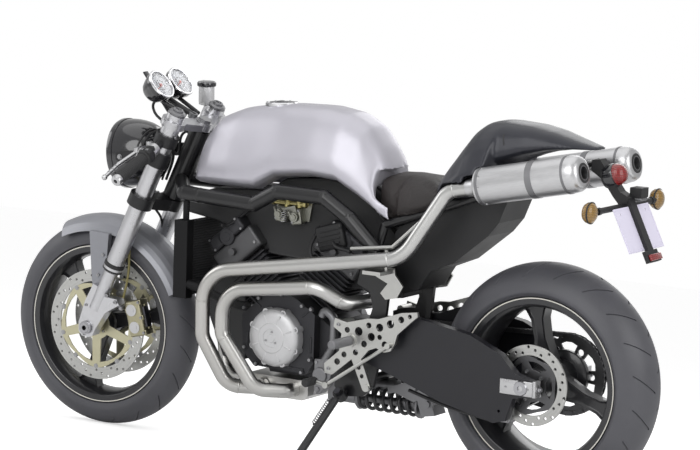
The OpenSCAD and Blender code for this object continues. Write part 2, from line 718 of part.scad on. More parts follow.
module cylinder_bank(bank) {
    translate(crank) rotate([0, bank, 0]) translate([0, 0, barrel_start + seat_gap]) union() {
        translate([-62, -62, 0]) cube([124, 124, barrel_l]);
        for (k = [0 : fin_count - 1]) translate([-72, -72, 10 + k * 20]) cube([144, 144, 8]);
        translate([-head_half, -cylinder_half, barrel_l - 1]) cube([2 * head_half, 2 * cylinder_half,
            head_l * 0.6 + 1]);
        translate([-66, -cylinder_half - 6, barrel_l + head_l * 0.6 - 2]) cube([132, 2 * cylinder_half
            + 12, head_l * 0.4 + 2]);
    }
}
module cylinders() {
    color("#2c2c30") leaned() {
        cylinder_bank(front_bank);
        cylinder_bank(-rear_bank);
    }
}
module throttle_bodies() {
    color("#8c8c84") leaned() union() {
        side_plate(-52, 52) polygon([[738, 668], [838, 668], [848, 726], [728, 726]]);
        both_sides() translate([0, 52, 0]) side_plate(-1, 26) polygon([[760, 686], [800, 678], [812,
            700], [770, 712]]);
        rod(front_intake - seat_gap * front_port_way, front_intake - 60 * front_port_way, 25);
        rod(rear_intake - seat_gap * rear_port_way, rear_intake - 60 * rear_port_way, 25);
    }
}
radiator_x = 1072;
radiator_half = 168;
module radiator() {
    color("#18181a") leaned() union() {
        translate([radiator_x, -radiator_half + 30, 436]) cube([30, 2 * radiator_half - 60, 206]);
        both_sides() {
            translate([radiator_x - 8, radiator_half - 31, 430]) cube([44, 31, 218]);
            rod([radiator_x - 6, radiator_half - 14, 470], [radiator_x - 60, radiator_half - 20, 462], 14);
            translate([1094, beam_half, 640]) cylinder(r = 9, h = beam_points[0].z - beam_r - 2 - 640);
            translate([1084, beam_half - 10, 624]) cube([30, 20, 22]);
        }
    }
}

// ---------- exhaust ----------

collector_x = [700, 900];
collector_half = 92;
collector_z = [176, 232];
module exhaust_collector() {
    color("#8e8e90") leaned() side_plate(-collector_half, collector_half)
        polygon([[collector_x[0], collector_z[0] + 14], [collector_x[0] + 18, collector_z[0]],
            [collector_x[1] - 18, collector_z[0]], [collector_x[1], collector_z[0] + 12],
                [collector_x[1], collector_z[1]],
            [collector_x[0], collector_z[1]]]);
}
silencer_tilt = 12;
neck_l = 40;          // from the pipe to the silencer's full width
silencer_start = [186, silencer_half, 822];
silencer_way = [-cos(silencer_tilt), 0, sin(silencer_tilt)];
pipe_y = 203;
outer_z = 521;
// Outer pipe: out of the collector, up in front of the engine, back along its side and up to the silencer.
outer_route = [[846, collector_half + seat_gap, 202], [846, 124, 202], [914, 170, 204], [980, pipe_y, 340],
    [984, pipe_y, outer_z], [352, pipe_y - 8, 622], silencer_start - silencer_way * 60,
    silencer_start - silencer_way * seat_gap];
outer_bends = [0, 18, 60, 60, 104, 92, 52, 0];
module outer_pipe() swept(bend_points(outer_route, outer_bends, 6), pipe_r);
module left_exhaust_pipe() color("#c6c6ca") leaned() outer_pipe();
module right_exhaust_pipe() color("#c6c6ca") leaned() mirror([0, 1, 0]) outer_pipe();
inner_y = 194;
inner_route = [[746, collector_half + seat_gap, 204], [746, 126, 204], [820, inner_y - 20, 206],
    [922, inner_y, 352], [924, inner_y, 475], [616, inner_y, 516], [546, 160, 474], [508, 70, 478],
    rear_port + 46 * rear_port_way, rear_port + seat_gap * rear_port_way];
inner_bends = [0, 20, 56, 50, 84, 70, 44, 30, 26, 0];
module rear_header_pipe() {
    color("#c6c6ca") leaned() swept(bend_points(inner_route, inner_bends, 6), pipe_r);
}
front_route = [front_port + seat_gap * front_port_way, front_port + 24 * front_port_way, [1034, 20, 330],
    [990, 60, 204], [collector_x[1] + seat_gap, 60, 204]];
module front_header_pipe() {
    color("#c6c6ca") leaned() swept(bend_points(front_route, [0, 24, 90, 50, 0], 6), pipe_r);
}
module silencers() {
    color("#c0c0c4") leaned() both_sides() from_to(silencer_start, silencer_start + silencer_way)
        rotate_extrude() polygon([[0, 0], [pipe_r + 3, 0], [pipe_r + 8, neck_l - 8], [silencer_r - 3,
            neck_l],
            [silencer_r, neck_l + 3], [silencer_r, silencer_l - 30], [silencer_r - 4, silencer_l - 8],
            [silencer_r - 16, silencer_l], [24, silencer_l + 3], [20, silencer_l], [20, silencer_l - 60],
            [0, silencer_l - 60]]);
}

// Each carries its side's pipe under a saddle, from the pivot plate.
saddle_x = 440;
saddle_z = outer_z + (984 - saddle_x - 28) * (622 - outer_z) / (984 - 352) - pipe_r / cos(9) - seat_gap;
module exhaust_hangers() {
    color("#b0b0b2") leaned() both_sides() union() {
        side_plate(plate_out + seat_gap, plate_out + 7) polygon([[468, saddle_z], [410, saddle_z], [408,
            566], [382, 536],
            [400, 504], [436, 496], [452, 512], [430, 540], [468, 556]]);
        translate([saddle_x - 28, plate_out + 1, saddle_z - 13]) cube([56, 76, 10]);
        tube_run([[528, 168, 628], [404, 160, 644], [322, 152, 722], [306, 150, 742]], 5.5);
        rod([saddle_x - 20, 163, 636], [saddle_x - 20, 163, saddle_z - 10], 5);
    }
}

// ---------- rear end ----------

arm_out = arm_in + arm_t;
spool_hole_l = 16;
spool_at = [64, 246];   // paddock stand hole, in X and Z
module arm() {
    difference() {
        side_plate(arm_in, arm_out) polygon([[532, 350], [532, 396], [512, 416], [420, 428], [330, 462],
            [281, 456],
            [158, 436], [66, 396], [20, 350], [-36, 334], [-36, 296], [24, 284], [44, 222], [80, 212],
                [242, 246],
            [400, 300], [500, 330], [516, 336]]);
        translate(rear_axle) about_y() cylinder(r = rear_axle_r + seat_gap, h = 300);
        translate(pivot) about_y() cylinder(r = pivot_r + seat_gap, h = 300);
        translate([spool_at[0], arm_out - spool_hole_l, spool_at[1]]) about_y()
            cylinder(r = spool_hole_r, h = 100);
    }
}
module swingarm() {
    color("#232327") leaned() union() {
        both_sides() arm();
        side_plate(-arm_in - 1, arm_in + 1) polygon([[352, 306], [420, 316], [424, 384], [356, 388]]);
    }
}
module rear_axle() {
    color("#a4a4aa") leaned() at_rear_wheel() {
        difference() {
            union() {
                cylinder(r = rear_axle_r, h = 2 * (arm_out + 1), center = true);
                for (s = [-1, 1]) translate([0, 0, s * (arm_out + seat_gap + axle_head / 2)])
                    cylinder(r = 18, h = axle_head, center = true);
            }
            cylinder(r = rear_axle_bore_r, h = 500, center = true);
        }
    }
}
module rear_caliper() {
    color("#c0c0c4") leaned() difference() {
        translate([48, rear_disc_y - 32, 206]) cube([74, arm_in - seat_gap - rear_disc_y + 32, 50]);
        translate(rear_axle) about_y() translate([0, 0, rear_disc_y - disc_t / 2 - pad_gap])
            cylinder(r = rear_disc_r + 6, h = disc_t + 2 * pad_gap);
        translate(rear_axle) about_y() cylinder(r = 72, h = 300);
    }
}
shock_z = 186;
module rear_shock() {
    color("#58585a") leaned() union() {
        rod([660, 0, shock_z + 6], [360, 0, shock_z + 6], 20);
        for (k = [0 : 7]) translate([392 + k * 27, 0, shock_z + 6]) rotate([0, 90, 0]) cylinder(r = 34,
            h = 12, center = true);
        side_plate(-30, 30) polygon([[330, 176], [372, 168], [384, 200], [452, 222], [440, 238], [350,
            224]]);
        both_sides() side_plate(36, 44) polygon([[470, 222], [474, 238], [410, 262], [404, 313], [380,
            309.6],
            [380, 252], [330, 222], [332, 196], [356, 196], [400, 238]]);
        for (p = [[390, 246], [346, 208]]) rod([p[0], -44, p[1]], [p[0], 44, p[1]], 8);
        side_plate(-26, 26) polygon([[648, 172], [676, 172], [676, 208], [662, 236], [650, 263.6], [632,
            265.4],
            [640, 230], [648, 212]]);
    }
}
module drive_chain() {
    color("#3a3a3c") leaned() difference() {
        chain_band(sprocket_r + 9, front_sprocket_r + 9, chain_w);
        chain_band(sprocket_r + 1, front_sprocket_r + 1, chain_w + 2);
    }
}
// The filled outline of a loop round both sprockets.
module chain_band(big, small, width) {
    d = front_sprocket - [rear_axle.x, front_sprocket.y, rear_axle.z];
    reach = norm([d.x, d.z]);
    tilt = atan2(d.z, d.x);
    flare = acos((big - small) / reach);
    rear = [for (k = [0 : 16]) let (a = flare + (360 - 2 * flare) * k / 16) big * [cos(a), sin(a)]];
    front = [for (k = [0 : 8]) let (a = 2 * flare * k / 8 - flare) [reach, 0] + small * [cos(a), sin(a)]];
    translate([0, -chain_y, rear_axle.z]) rotate([0, -tilt, 0]) rotate([90, 0, 0])
        linear_extrude(width, center = true) polygon(concat(rear, front));
}

// ---------- footrests and stand ----------

hanger_y = 184;
hanger_posts = [[572, 300], [544, 424]];   // clear of the swingarm, on the pivot plates
hanger_holes = [[480, 412, 12], [449, 432, 8], [440, 402, 11], [415, 430, 11], [382, 443, 11], [349, 459,
    9],
    [323, 470, 6], [398, 386, 9], [414, 404, 7], [462, 380, 9], [516, 412, 8], [488, 354, 8], [545, 322, 9],
    [524, 344, 8], [466, 292, 6], [476, 314, 6]];
peg_at = [506, 384];
module hanger() {
    side_plate(hanger_y, hanger_y + hanger_t) difference() {
        polygon([[560, 416], [556, 440], [518, 432], [453, 450], [421, 452], [349, 477], [301, 484],
            [299, 472],
            [313, 460], [360, 417], [368, 388], [380, 370], [400, 364], [424, 374], [448, 364], [470, 338],
            [438, 264], [462, 254], [500, 334], [560, 284], [584, 286], [586, 312], [540, 352], [534,
                400]]);
        for (h = hanger_holes) translate([h[0], h[1]]) circle(r = h[2]);
    }
    for (p = hanger_posts) rod([p[0], plate_out + seat_gap, p[1]], [p[0], hanger_y + 1, p[1]], 11);
    rod([peg_at[0], hanger_y + 2, peg_at[1]], [peg_at[0], hanger_y + hanger_t + 92, peg_at[1]], peg_r);
    rod([peg_at[0], hanger_y + 2, peg_at[1]], [peg_at[0], hanger_y + hanger_t + 6, peg_at[1]], peg_r + 6);
}
module pedal() {
    out = hanger_y + hanger_t;
    rod([381, out - 2, 386], [381, out + 16, 386], 8);
    rod([381, out + 9, 386], [574, out + 9, 255], 5);
    rod([450, out - 2, 262], [450, out + 6, 262], 10);
    rod([572, out + 1, 256], [572, out + 17, 256], 9);
    rod([572, out + 9, 256], [614, out + 9, 262], 6);
    rod([612, out + 1, 262], [612, out + 56, 262], 9);
}
module left_footrest() {
    color("#b4b4a8") leaned() {
        hanger();
        pedal();
    }
}
module right_footrest() {
    color("#b4b4a8") leaned() mirror([0, 1, 0]) {
        hanger();
        pedal();
    }
}

stand_pivot = [560, 152, 226];
stand_tilt = 50;      // the hinge's axis leans out from the vertical
stand_swing = 12;     // the leg points this far forward of the hinge's side
stand_pin_r = 8;
stand_eye_r = 17;
stand_eye_t = 14;
foot_w = 46;
foot_l = 72;
foot_t = 8;
// How far down the leg the ground lies, below the middle of the foot.
stand_drop = [sin(stand_swing), cos(stand_swing) * cos(stand_tilt), -cos(stand_swing) * sin(stand_tilt)];
stand_l = (stand_pivot.z - stand_pivot.y * tan(lean) + stance_rise / cos(lean)) /
    (stand_drop.y * tan(lean) - stand_drop.z);
module at_stand() translate(stand_pivot) rotate([-stand_tilt, 0, 0]) children();
module stand_lug() {
    at_stand() {
        translate([0, 0, -stand_eye_t / 2 - seat_gap - 12]) cylinder(r = stand_eye_r, h = 12);
        translate([0, 0, -stand_eye_t / 2 - seat_gap - 4]) cylinder(r = stand_pin_r, h = stand_eye_t
            + 2 * seat_gap + 6);
        translate([0, 0, stand_eye_t / 2 + seat_gap]) cylinder(r = stand_pin_r + 4, h = 5);
    }
    rod([556, plate_in + 2, 232], stand_pivot - 16 * [0, sin(stand_tilt), cos(stand_tilt)], 7.5);
}
module side_stand() {
    foot = stand_pivot + stand_l * stand_drop;
    color("#202022") leaned() difference() {
        union() {
            at_stand() cylinder(r = stand_eye_r, h = stand_eye_t, center = true);
            rod(stand_pivot + 10 * stand_drop, stand_pivot + 44 * stand_drop, stand_eye_t / 2 - 0.2);
            rod(stand_pivot + (stand_eye_r + 3) * stand_drop, foot - 10 * stand_drop, stand_r);
            translate(foot) rotate([lean, 0, 0]) translate([-foot_l / 2, -foot_w / 2, 0]) cube([foot_l,
                foot_w, foot_t]);
        }
        at_stand() cylinder(r = stand_pin_r + run_gap, h = 60, center = true);
    }
}

// ---------- tail ----------

bracket_x = rail_high.x - rail_r - seat_gap;
plate_tilt = 26;
plate_t = 2;
plate_hole_y = 70;
plate_hole_up = 45;
plate_centre = [-240, 0, 745];
module at_plate() translate(plate_centre) rotate([0, plate_tilt, 0]) children();
stalk_at = [-199, 799];   // the indicators' bar, in X and Z
stalk_end = 150;
module tail_light_bracket() {
    color("#17171a") leaned() union() {
        side_plate(-17, 17) polygon([[bracket_x, 884], [bracket_x, 912], [-128, 916], [-152, 884], [-190,
            836],
            [-216, 824], [-212, 808], [-190, 800], [-170, 822], [-140, 862]]);
        rod([stalk_at[0], -stalk_end, stalk_at[1]], [stalk_at[0], stalk_end, stalk_at[1]], 8);
        translate([-139, 0, 868]) rotate([0, -72, 0]) cylinder(r = 29, h = 30);
        at_plate() translate([-plate_t / 2 - seat_gap - 10, -15, -74]) cube([10, 30, 152]);
        at_plate() translate([-plate_t / 2 - seat_gap - 10, -15, 65]) cube([34, 30, 13]);
        at_plate() translate([-plate_t / 2 - seat_gap - 10, -34, -76]) cube([10, 68, 12]);
        at_plate() translate([-plate_t / 2 - seat_gap - 12, -34, -96]) cube([12, 68, 22]);
        translate([-238, -52, 821]) cube([34, 40, 26]);
    }
}
indicator_half = 192;
module indicators() {
    color("#a8843c") leaned() both_sides() {
        translate([stalk_at[0], indicator_half, stalk_at[1]]) rotate([0, -90, 0]) {
            translate([0, 0, -20]) cylinder(r1 = 18, r2 = 28, h = 20.5);
            cylinder(r = 28, h = 12);
        }
        rod([stalk_at[0], stalk_end + seat_gap, stalk_at[1]], [stalk_at[0], indicator_half, stalk_at[1]],
            7);
    }
}
module number_plate() {
    color("#c8c4d4") leaned() at_plate() difference() {
        cube([plate_t, 200, 122], center = true);
        both_sides() translate([0, plate_hole_y, plate_hole_up]) rotate([0, 90, 0])
            cylinder(r = plate_hole_r, h = 20, center = true);
    }
}

front_tyre();
front_rim();
front_brake_discs();
rear_tyre();
rear_rim();
rear_brake_disc();
rear_sprocket();
front_axle();
left_fork_leg();
right_fork_leg();
lower_yoke();
top_yoke();
front_mudguard();
front_calipers();
headlight();
headlight_bracket();
instruments();
left_handlebar();
right_handlebar();
clutch_lever();
brake_lever();
main_frame();
seat_subframe();
fuel_tank();
seat();
tail_cowl();
rear_mudguard();
radiator();
crankcase();
left_engine_cover();
right_engine_cover();
cylinders();
throttle_bodies();
exhaust_collector();
left_exhaust_pipe();
right_exhaust_pipe();
rear_header_pipe();
front_header_pipe();
exhaust_hangers();
silencers();
swingarm();
rear_axle();
rear_caliper();
rear_shock();
drive_chain();
left_footrest();
right_footrest();
tail_light_bracket();
indicators();
number_plate();
side_stand();
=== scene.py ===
import json
import math
import bmesh
import bpy
from mathutils import Matrix, Vector


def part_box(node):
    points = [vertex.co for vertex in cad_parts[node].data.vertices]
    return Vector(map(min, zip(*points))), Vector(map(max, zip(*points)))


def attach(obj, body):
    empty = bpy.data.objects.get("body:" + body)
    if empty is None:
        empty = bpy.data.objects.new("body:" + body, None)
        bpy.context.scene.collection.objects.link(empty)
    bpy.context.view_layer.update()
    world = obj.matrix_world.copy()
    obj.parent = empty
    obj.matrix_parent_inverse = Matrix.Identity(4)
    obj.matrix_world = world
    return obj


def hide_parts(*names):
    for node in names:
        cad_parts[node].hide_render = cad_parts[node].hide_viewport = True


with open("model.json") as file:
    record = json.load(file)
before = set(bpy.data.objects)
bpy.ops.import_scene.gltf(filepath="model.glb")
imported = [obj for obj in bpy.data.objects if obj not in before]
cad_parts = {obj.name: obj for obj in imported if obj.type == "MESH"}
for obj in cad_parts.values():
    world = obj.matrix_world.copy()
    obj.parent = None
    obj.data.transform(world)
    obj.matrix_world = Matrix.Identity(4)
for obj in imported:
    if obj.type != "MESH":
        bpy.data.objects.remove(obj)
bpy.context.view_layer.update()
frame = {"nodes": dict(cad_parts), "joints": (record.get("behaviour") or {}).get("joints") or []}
print("frame loaded:", len(frame["nodes"]), "nodes")

# ---- where things are: X forward, Y left, Z up, the rear wheel touching the ground at 0, in mm ----
joint = {j["name"]: j for j in frame["joints"]}
wheels = {"rearRadius": 315, "frontRadius": 300, "wheelbase": 1448, "rake": 24.5, "forkHalf": 105}
across = Vector(joint["rear_wheel_spin"]["axis"]).normalized()
forward = Vector((1, 0, 0))
upward = forward.cross(across)
hub = Vector(joint["rear_wheel_spin"]["pos_m"]) - upward * wheels["rearRadius"] / 1000
bike = Matrix((forward, across, upward)).transposed().to_4x4()
bike.translation = hub
stem = Vector(joint["steering"]["axis"]).normalized()
turned = Vector(joint["front_wheel_spin"]["axis"]).normalized()
turn = math.atan2(stem.dot(across.cross(turned)), across.dot(turned))
stemPoint = Vector(joint["steering"]["pos_m"])
steered = Matrix.Translation(stemPoint) @ Matrix.Rotation(turn, 4, stem) @ Matrix.Translation(-stemPoint)
mm = Matrix.Scale(0.001, 4)
onBike, onFork = bike @ mm, steered @ bike @ mm
onStand = onBike
rearAxle = Vector((0, 0, wheels["rearRadius"]))
frontAxle = Vector((wheels["wheelbase"], 0, wheels["frontRadius"]))
rake = math.radians(wheels["rake"])
forkUp = Vector((-math.sin(rake), 0, math.cos(rake)))


def vec(*p):
    return Vector(p[0] if len(p) == 1 else p)


def upFork(distance, side=0):
    return frontAxle + forkUp * distance + vec(0, side, 0)


def towards(point, way):
    # a matrix that takes +Z to the given direction, at the given point
    return Matrix.Translation(vec(point)) @ vec(way).to_track_quat("Z", "Y").to_matrix().to_4x4()


def aboutAxle(point):
    # +Z to the left, and X forward
    return Matrix.Translation(vec(point)) @ Matrix.Rotation(-math.pi / 2, 4, "X")


def mirrored(side):
    return Matrix.Scale(side, 4, (0, 1, 0)) if side < 0 else Matrix.Identity(4)


# ---- camera ----
view = {"from": (-3606.4, 6847.1, 1792.9), "heading": -58.206, "pitch": -7.979, "roll": 1.886, "lens": 152.44}
heading, pitch, roll = (math.radians(view[k]) for k in ("heading", "pitch", "roll"))
look = vec(math.cos(pitch) * math.cos(heading), math.cos(pitch) * math.sin(heading), math.sin(pitch))
level = look.cross(vec(0, 0, 1)).normalized()
tall = level.cross(look)
rightWay = level * math.cos(roll) + tall * math.sin(roll)
upWay = tall * math.cos(roll) - level * math.sin(roll)
camera = bpy.data.objects.new("camera", bpy.data.cameras.new("camera"))
bpy.context.scene.collection.objects.link(camera)
axes = Matrix((rightWay, upWay, -look)).transposed()
camera.matrix_world = Matrix.Translation(onBike @ vec(view["from"])) @ (bike.to_3x3() @ axes).to_4x4()
camera.data.lens, camera.data.sensor_width = view["lens"], 36
camera.data.clip_end = 60
bpy.context.scene.camera = camera
print("camera set")


# ---- finishes ----
class Wire:
    # a socket that can be written in sums
    def __init__(self, finish, socket):
        self.finish, self.socket = finish, socket

    def maths(self, operation, first, second=None):
        parts = {0: first} if second is None else {0: first, 1: second}
        return self.finish.node("ShaderNodeMath", {"operation": operation}, parts)

    def __add__(self, other):
        return self.maths("ADD", self, other)

    def __radd__(self, other):
        return self.maths("ADD", other, self)

    def __sub__(self, other):
        return self.maths("SUBTRACT", self, other)

    def __rsub__(self, other):
        return self.maths("SUBTRACT", other, self)

    def __mul__(self, other):
        return self.maths("MULTIPLY", self, other)

    def __rmul__(self, other):
        return self.maths("MULTIPLY", other, self)

    def __truediv__(self, other):
        return self.maths("DIVIDE", self, other)

    def __pow__(self, other):
        return self.maths("POWER", self, other)

    def above(self, other):
        return self.maths("GREATER_THAN", self, other)

    def below(self, other):
        return self.maths("LESS_THAN", self, other)

    def wave(self):
        return self.maths("SINE", self)


class Finish:
    def __init__(self, name, colour=(0.5, 0.5, 0.5), **steady):
        self.material = bpy.data.materials.new(name)
        self.material.use_nodes = True
        self.nodes, self.links = self.material.node_tree.nodes, self.material.node_tree.links
        self.shader = self.nodes["Principled BSDF"]
        self.shader.inputs["Base Color"].default_value = (*colour, 1)
        for socket, value in steady.items():
            self.shader.inputs[socket.replace("_", " ")].default_value = value
        self.place = self.node("ShaderNodeTexCoord", {}, {}, "Object")

    def node(self, kind, settings, sockets, out=0):
        made = self.nodes.new(kind)
        for name, value in settings.items():
            if name == "stops":
                ramp = made.color_ramp
                ramp.elements.remove(ramp.elements[1])
                ramp.elements[0].position, ramp.elements[0].color = value[0][0], (*value[0][1], 1)
                for place, colour in value[1:]:
                    ramp.elements.new(place).color = (*colour, 1)
            else:
                setattr(made, name, value)
        for name, value in sockets.items():
            if isinstance(value, Wire):
                self.links.new(value.socket, made.inputs[name])
            else:
                made.inputs[name].default_value = value
        return Wire(self, made.outputs[out])

    def feed(self, **wires):
        for name, wire in wires.items():
            self.links.new(wire.socket, self.shader.inputs[name.replace("_", " ")])
        return self

    def noise(self, scale, detail=4, roughness=0.55, at=None):
        sockets = {"Vector": at or self.place, "Scale": scale, "Detail": detail, "Roughness": roughness}
        return self.node("ShaderNodeTexNoise", {}, sockets)

    def blend(self, mask, first, second):
        pick = [c if isinstance(c, Wire) else (*c, 1) for c in (first, second)]
        return self.node("ShaderNodeMix", {"data_type": "RGBA"}, {0: mask, 6: pick[0], 7: pick[1]}, 2)

    def ramp(self, mask, *stops):
        return self.node("ShaderNodeValToRGB", {"stops": stops}, {"Fac": mask})

    def raised(self, height, distance, strength=1.0):
        bump = self.node("ShaderNodeBump", {}, {"Height": height, "Distance": distance, "Strength": strength})
        return self.feed(Normal=bump)

    def turned(self, place, stretch=(1, 1, 1)):
        # object coordinates seen from a piece's own middle and axes
        back = place.inverted()
        where, spin, _ = back.decompose()
        sockets = {"Vector": self.place, "Location": where, "Rotation": spin.to_euler()}
        seen = self.node("ShaderNodeMapping", {}, sockets)
        if stretch == (1, 1, 1):
            return seen
        return self.node("ShaderNodeMapping", {}, {"Vector": seen, "Scale": stretch})

    def parts(self, vector):
        split = self.nodes.new("ShaderNodeSeparateXYZ")
        self.links.new(vector.socket, split.inputs[0])
        return [Wire(self, split.outputs[k]) for k in range(3)]


def rigid(place):
    # the same place without its millimetre scale
    where, spin, _ = place.decompose()
    return Matrix.Translation(where) @ spin.to_matrix().to_4x4()


def paint(name, colour, shade, roughness, grain=0.0, grainSize=900, **steady):
    # a painted or moulded face: its colour drifts a little and its skin has a fine grain
    finish = Finish(name, colour, Roughness=roughness, **steady)
    drift = finish.noise(14, 5)
    finish.feed(Base_Color=finish.blend(drift, colour, shade))
    finish.feed(Roughness=drift * 0.16 + (roughness - 0.08))
    if grain:
        finish.raised(finish.noise(grainSize, 2), grain)
    return finish


def metal(name, colour, roughness, streak=None, grain=0.00002, grainSize=1400, **steady):
    # bare metal: wear shows as uneven gloss, and a brushed one has streaks along one way
    finish = Finish(name, colour, Roughness=roughness, **{"Metallic": 1.0, **steady})
    wear = finish.noise(26, 6)
    finish.feed(Base_Color=finish.blend(wear, tuple(c * 0.82 for c in colour), colour))
    if streak:
        at = finish.node("ShaderNodeMapping", {}, {"Vector": finish.turned(onBike and rigid(onBike)), "Scale": streak})
        lines = finish.noise(60, 3, at=at)
        finish.feed(Roughness=wear * 0.12 + lines * 0.2 + (roughness - 0.16))
        finish.raised(lines, grain)
    else:
        finish.feed(Roughness=wear * 0.22 + (roughness - 0.11))
        finish.raised(finish.noise(grainSize, 2), grain)
    return finish


def makeFinishes():
    made = {}
    rubber = made["rubber"] = Finish("tyreRubber", (0.028, 0.028, 0.032), Roughness=0.55)
    # the rubber is painted a lighter, bluish grey that stands in for the sheen on the tread, and the noise varies it at
    # random like scuffing
    scuffAndSheen = rubber.noise(9, 6)
    rubber.feed(Base_Color=rubber.blend(scuffAndSheen, (0.050, 0.050, 0.057), (0.088, 0.088, 0.100)))
    rubber.feed(Roughness=scuffAndSheen * 0.22 + 0.38)
    rubber.raised(rubber.noise(700, 3), 0.00012)
    made["softRubber"] = paint("softRubber", (0.016, 0.016, 0.017), (0.026, 0.026, 0.027), 0.7, 0.0001, 1200)
    made["wheelBlack"] = paint("wheelBlack", (0.011, 0.011, 0.013), (0.018, 0.018, 0.021), 0.36, Coat_Weight=0.4)
    made["pinstripe"] = paint("pinstripe", (0.62, 0.60, 0.54), (0.7, 0.68, 0.62), 0.35)
    for name, place in (("frontDisc", onFork), ("rearDisc", onBike)):
        disc = made[name] = Finish(name, (0.52, 0.52, 0.50), Metallic=1.0, Roughness=0.3)
        at = disc.turned(rigid(place @ aboutAxle(frontAxle if name == "frontDisc" else rearAxle)))
        x, y, _ = disc.parts(at)
        reach = (x * x + y * y) ** 0.5
        rings = disc.noise(220, 2, at=disc.node("ShaderNodeCombineXYZ", {}, {0: reach, 1: 0.0, 2: 0.0}))
        disc.feed(Base_Color=disc.blend(rings, (0.40, 0.40, 0.39), (0.60, 0.60, 0.58)))
        disc.feed(Roughness=rings * 0.22 + 0.22)
        disc.raised(rings, 0.00004)
    made["discCarrier"] = metal("discCarrier", (0.60, 0.57, 0.40), 0.36)
    made["darkSteel"] = metal("darkSteel", (0.14, 0.14, 0.145), 0.42)
    made["forkSilver"] = metal("forkSilver", (0.66, 0.66, 0.68), 0.30, (1, 1, 0.05))
    made["axleSteel"] = metal("axleSteel", (0.46, 0.46, 0.48), 0.32)
    made["blackMetal"] = paint("blackMetal", (0.007, 0.007, 0.008), (0.012, 0.012, 0.014), 0.42, 0.00003, 500)
    made["frameBlack"] = paint("frameBlack", (0.004, 0.004, 0.005), (0.008, 0.008, 0.009), 0.36, Coat_Weight=0.2)
    made["armBlack"] = paint("armBlack", (0.006, 0.006, 0.009), (0.011, 0.011, 0.015), 0.40, 0.00002, 600)
    made["yokeSilver"] = metal("yokeSilver", (0.60, 0.60, 0.62), 0.32)
    made["guardGrey"] = paint("guardGrey", (0.24, 0.245, 0.27), (0.29, 0.295, 0.32), 0.42, Metallic=0.45,
                              Coat_Weight=0.35, Coat_Roughness=0.2)
    made["caliper"] = metal("caliperMetal", (0.46, 0.43, 0.29), 0.38)
    made["caliperGrey"] = metal("caliperGrey", (0.34, 0.34, 0.35), 0.40)
    made["lampBlack"] = paint("lampBlack", (0.010, 0.010, 0.012), (0.016, 0.016, 0.019), 0.16, Coat_Weight=1.0)
    made["leverSilver"] = metal("leverSilver", (0.62, 0.62, 0.63), 0.30)
    made["chrome"] = metal("chrome", (0.80, 0.80, 0.82), 0.13)
    made["tankSilver"] = paint("tankSilver", (0.47, 0.46, 0.51), (0.51, 0.50, 0.55), 0.44, 0.000003, 5200,
                               Metallic=0.6, Coat_Weight=0.35, Coat_Roughness=0.16)
    made["cowlCharcoal"] = paint("cowlCharcoal", (0.016, 0.017, 0.024), (0.024, 0.025, 0.034), 0.5, 0.000004, 5200,
                                 Metallic=0.4, Coat_Weight=0.35, Coat_Roughness=0.22)
    seat = made["seatLeather"] = Finish("seatLeather", (0.016, 0.012, 0.011), Roughness=0.5)
    cells = seat.node("ShaderNodeTexVoronoi", {"feature": "DISTANCE_TO_EDGE"}, {"Vector": seat.place, "Scale": 420.0})
    wear = seat.noise(10, 5)
    seat.feed(Base_Color=seat.blend(wear, (0.010, 0.008, 0.008), (0.024, 0.018, 0.017)))
    seat.feed(Roughness=wear * 0.2 + 0.4)
    seat.raised((cells * 3).maths("MINIMUM", cells * 3, 0.35) + seat.noise(900, 2) * 0.2, 0.0006)
    made["thread"] = paint("thread", (0.10, 0.08, 0.07), (0.14, 0.11, 0.10), 0.7)
    made["blackPlastic"] = paint("blackPlastic", (0.006, 0.006, 0.007), (0.011, 0.011, 0.012), 0.5, 0.0001, 800)
    core = made["radiatorCore"] = Finish("radiatorCore", (0.02, 0.02, 0.022), Roughness=0.55, Metallic=0.6)
    x, y, z = core.parts(core.turned(rigid(onBike)))
    inside = (y * y).below(0.0188)
    rows = ((z * 900).wave() * 0.5 + 0.5) * inside
    louvre = ((y * 3600).wave() * 0.5 + 0.5) * inside
    core.feed(Base_Color=core.blend(rows, (0.008, 0.008, 0.009), (0.03, 0.03, 0.033)))
    core.raised(rows * 0.7 + louvre * 0.3, 0.0012)
    made["engineDark"] = metal("engineDark", (0.055, 0.055, 0.06), 0.5, grain=0.00012, grainSize=420, Metallic=0.7)
    made["headGrey"] = metal("headGrey", (0.13, 0.13, 0.135), 0.5, grain=0.00012, grainSize=420, Metallic=0.8)
    made["castSilver"] = metal("castSilver", (0.66, 0.66, 0.67), 0.5, grain=0.00010, grainSize=520, Metallic=0.75)
    made["castGrey"] = metal("castGrey", (0.26, 0.26, 0.27), 0.46, grain=0.00010, grainSize=520)
    made["intakeMetal"] = metal("intakeMetal", (0.34, 0.34, 0.30), 0.42, grain=0.00008, grainSize=520)
    made["brass"] = metal("brass", (0.50, 0.44, 0.20), 0.36)
    pipe = made["pipeSteel"] = Finish("pipeSteel", (0.52, 0.52, 0.51), Metallic=1.0, Roughness=0.26)
    x, y, z = pipe.parts(pipe.turned(rigid(onBike)))
    haze = pipe.noise(7, 5)
    heat = pipe.ramp((x - 0.62) * 1.1 + haze * 0.3, (0.0, (0.54, 0.54, 0.53)), (0.6, (0.52, 0.51, 0.49)),
                     (1.0, (0.45, 0.43, 0.38)))
    pipe.feed(Base_Color=heat, Roughness=haze * 0.14 + 0.24)
    pipe.raised(pipe.noise(420, 2), 0.000012)
    can = made["silencerMetal"] = Finish("silencerMetal", (0.62, 0.62, 0.63), Metallic=1.0, Roughness=0.34)
    tilt = rigid(onBike) @ Matrix.Rotation(math.radians(12), 4, "Y")
    lines = can.noise(60, 4, at=can.turned(tilt, (0.6, 14, 14)))
    can.feed(Base_Color=can.blend(lines, (0.46, 0.46, 0.47), (0.70, 0.70, 0.71)))
    can.feed(Roughness=lines * 0.24 + 0.24)
    can.raised(lines, 0.00006)
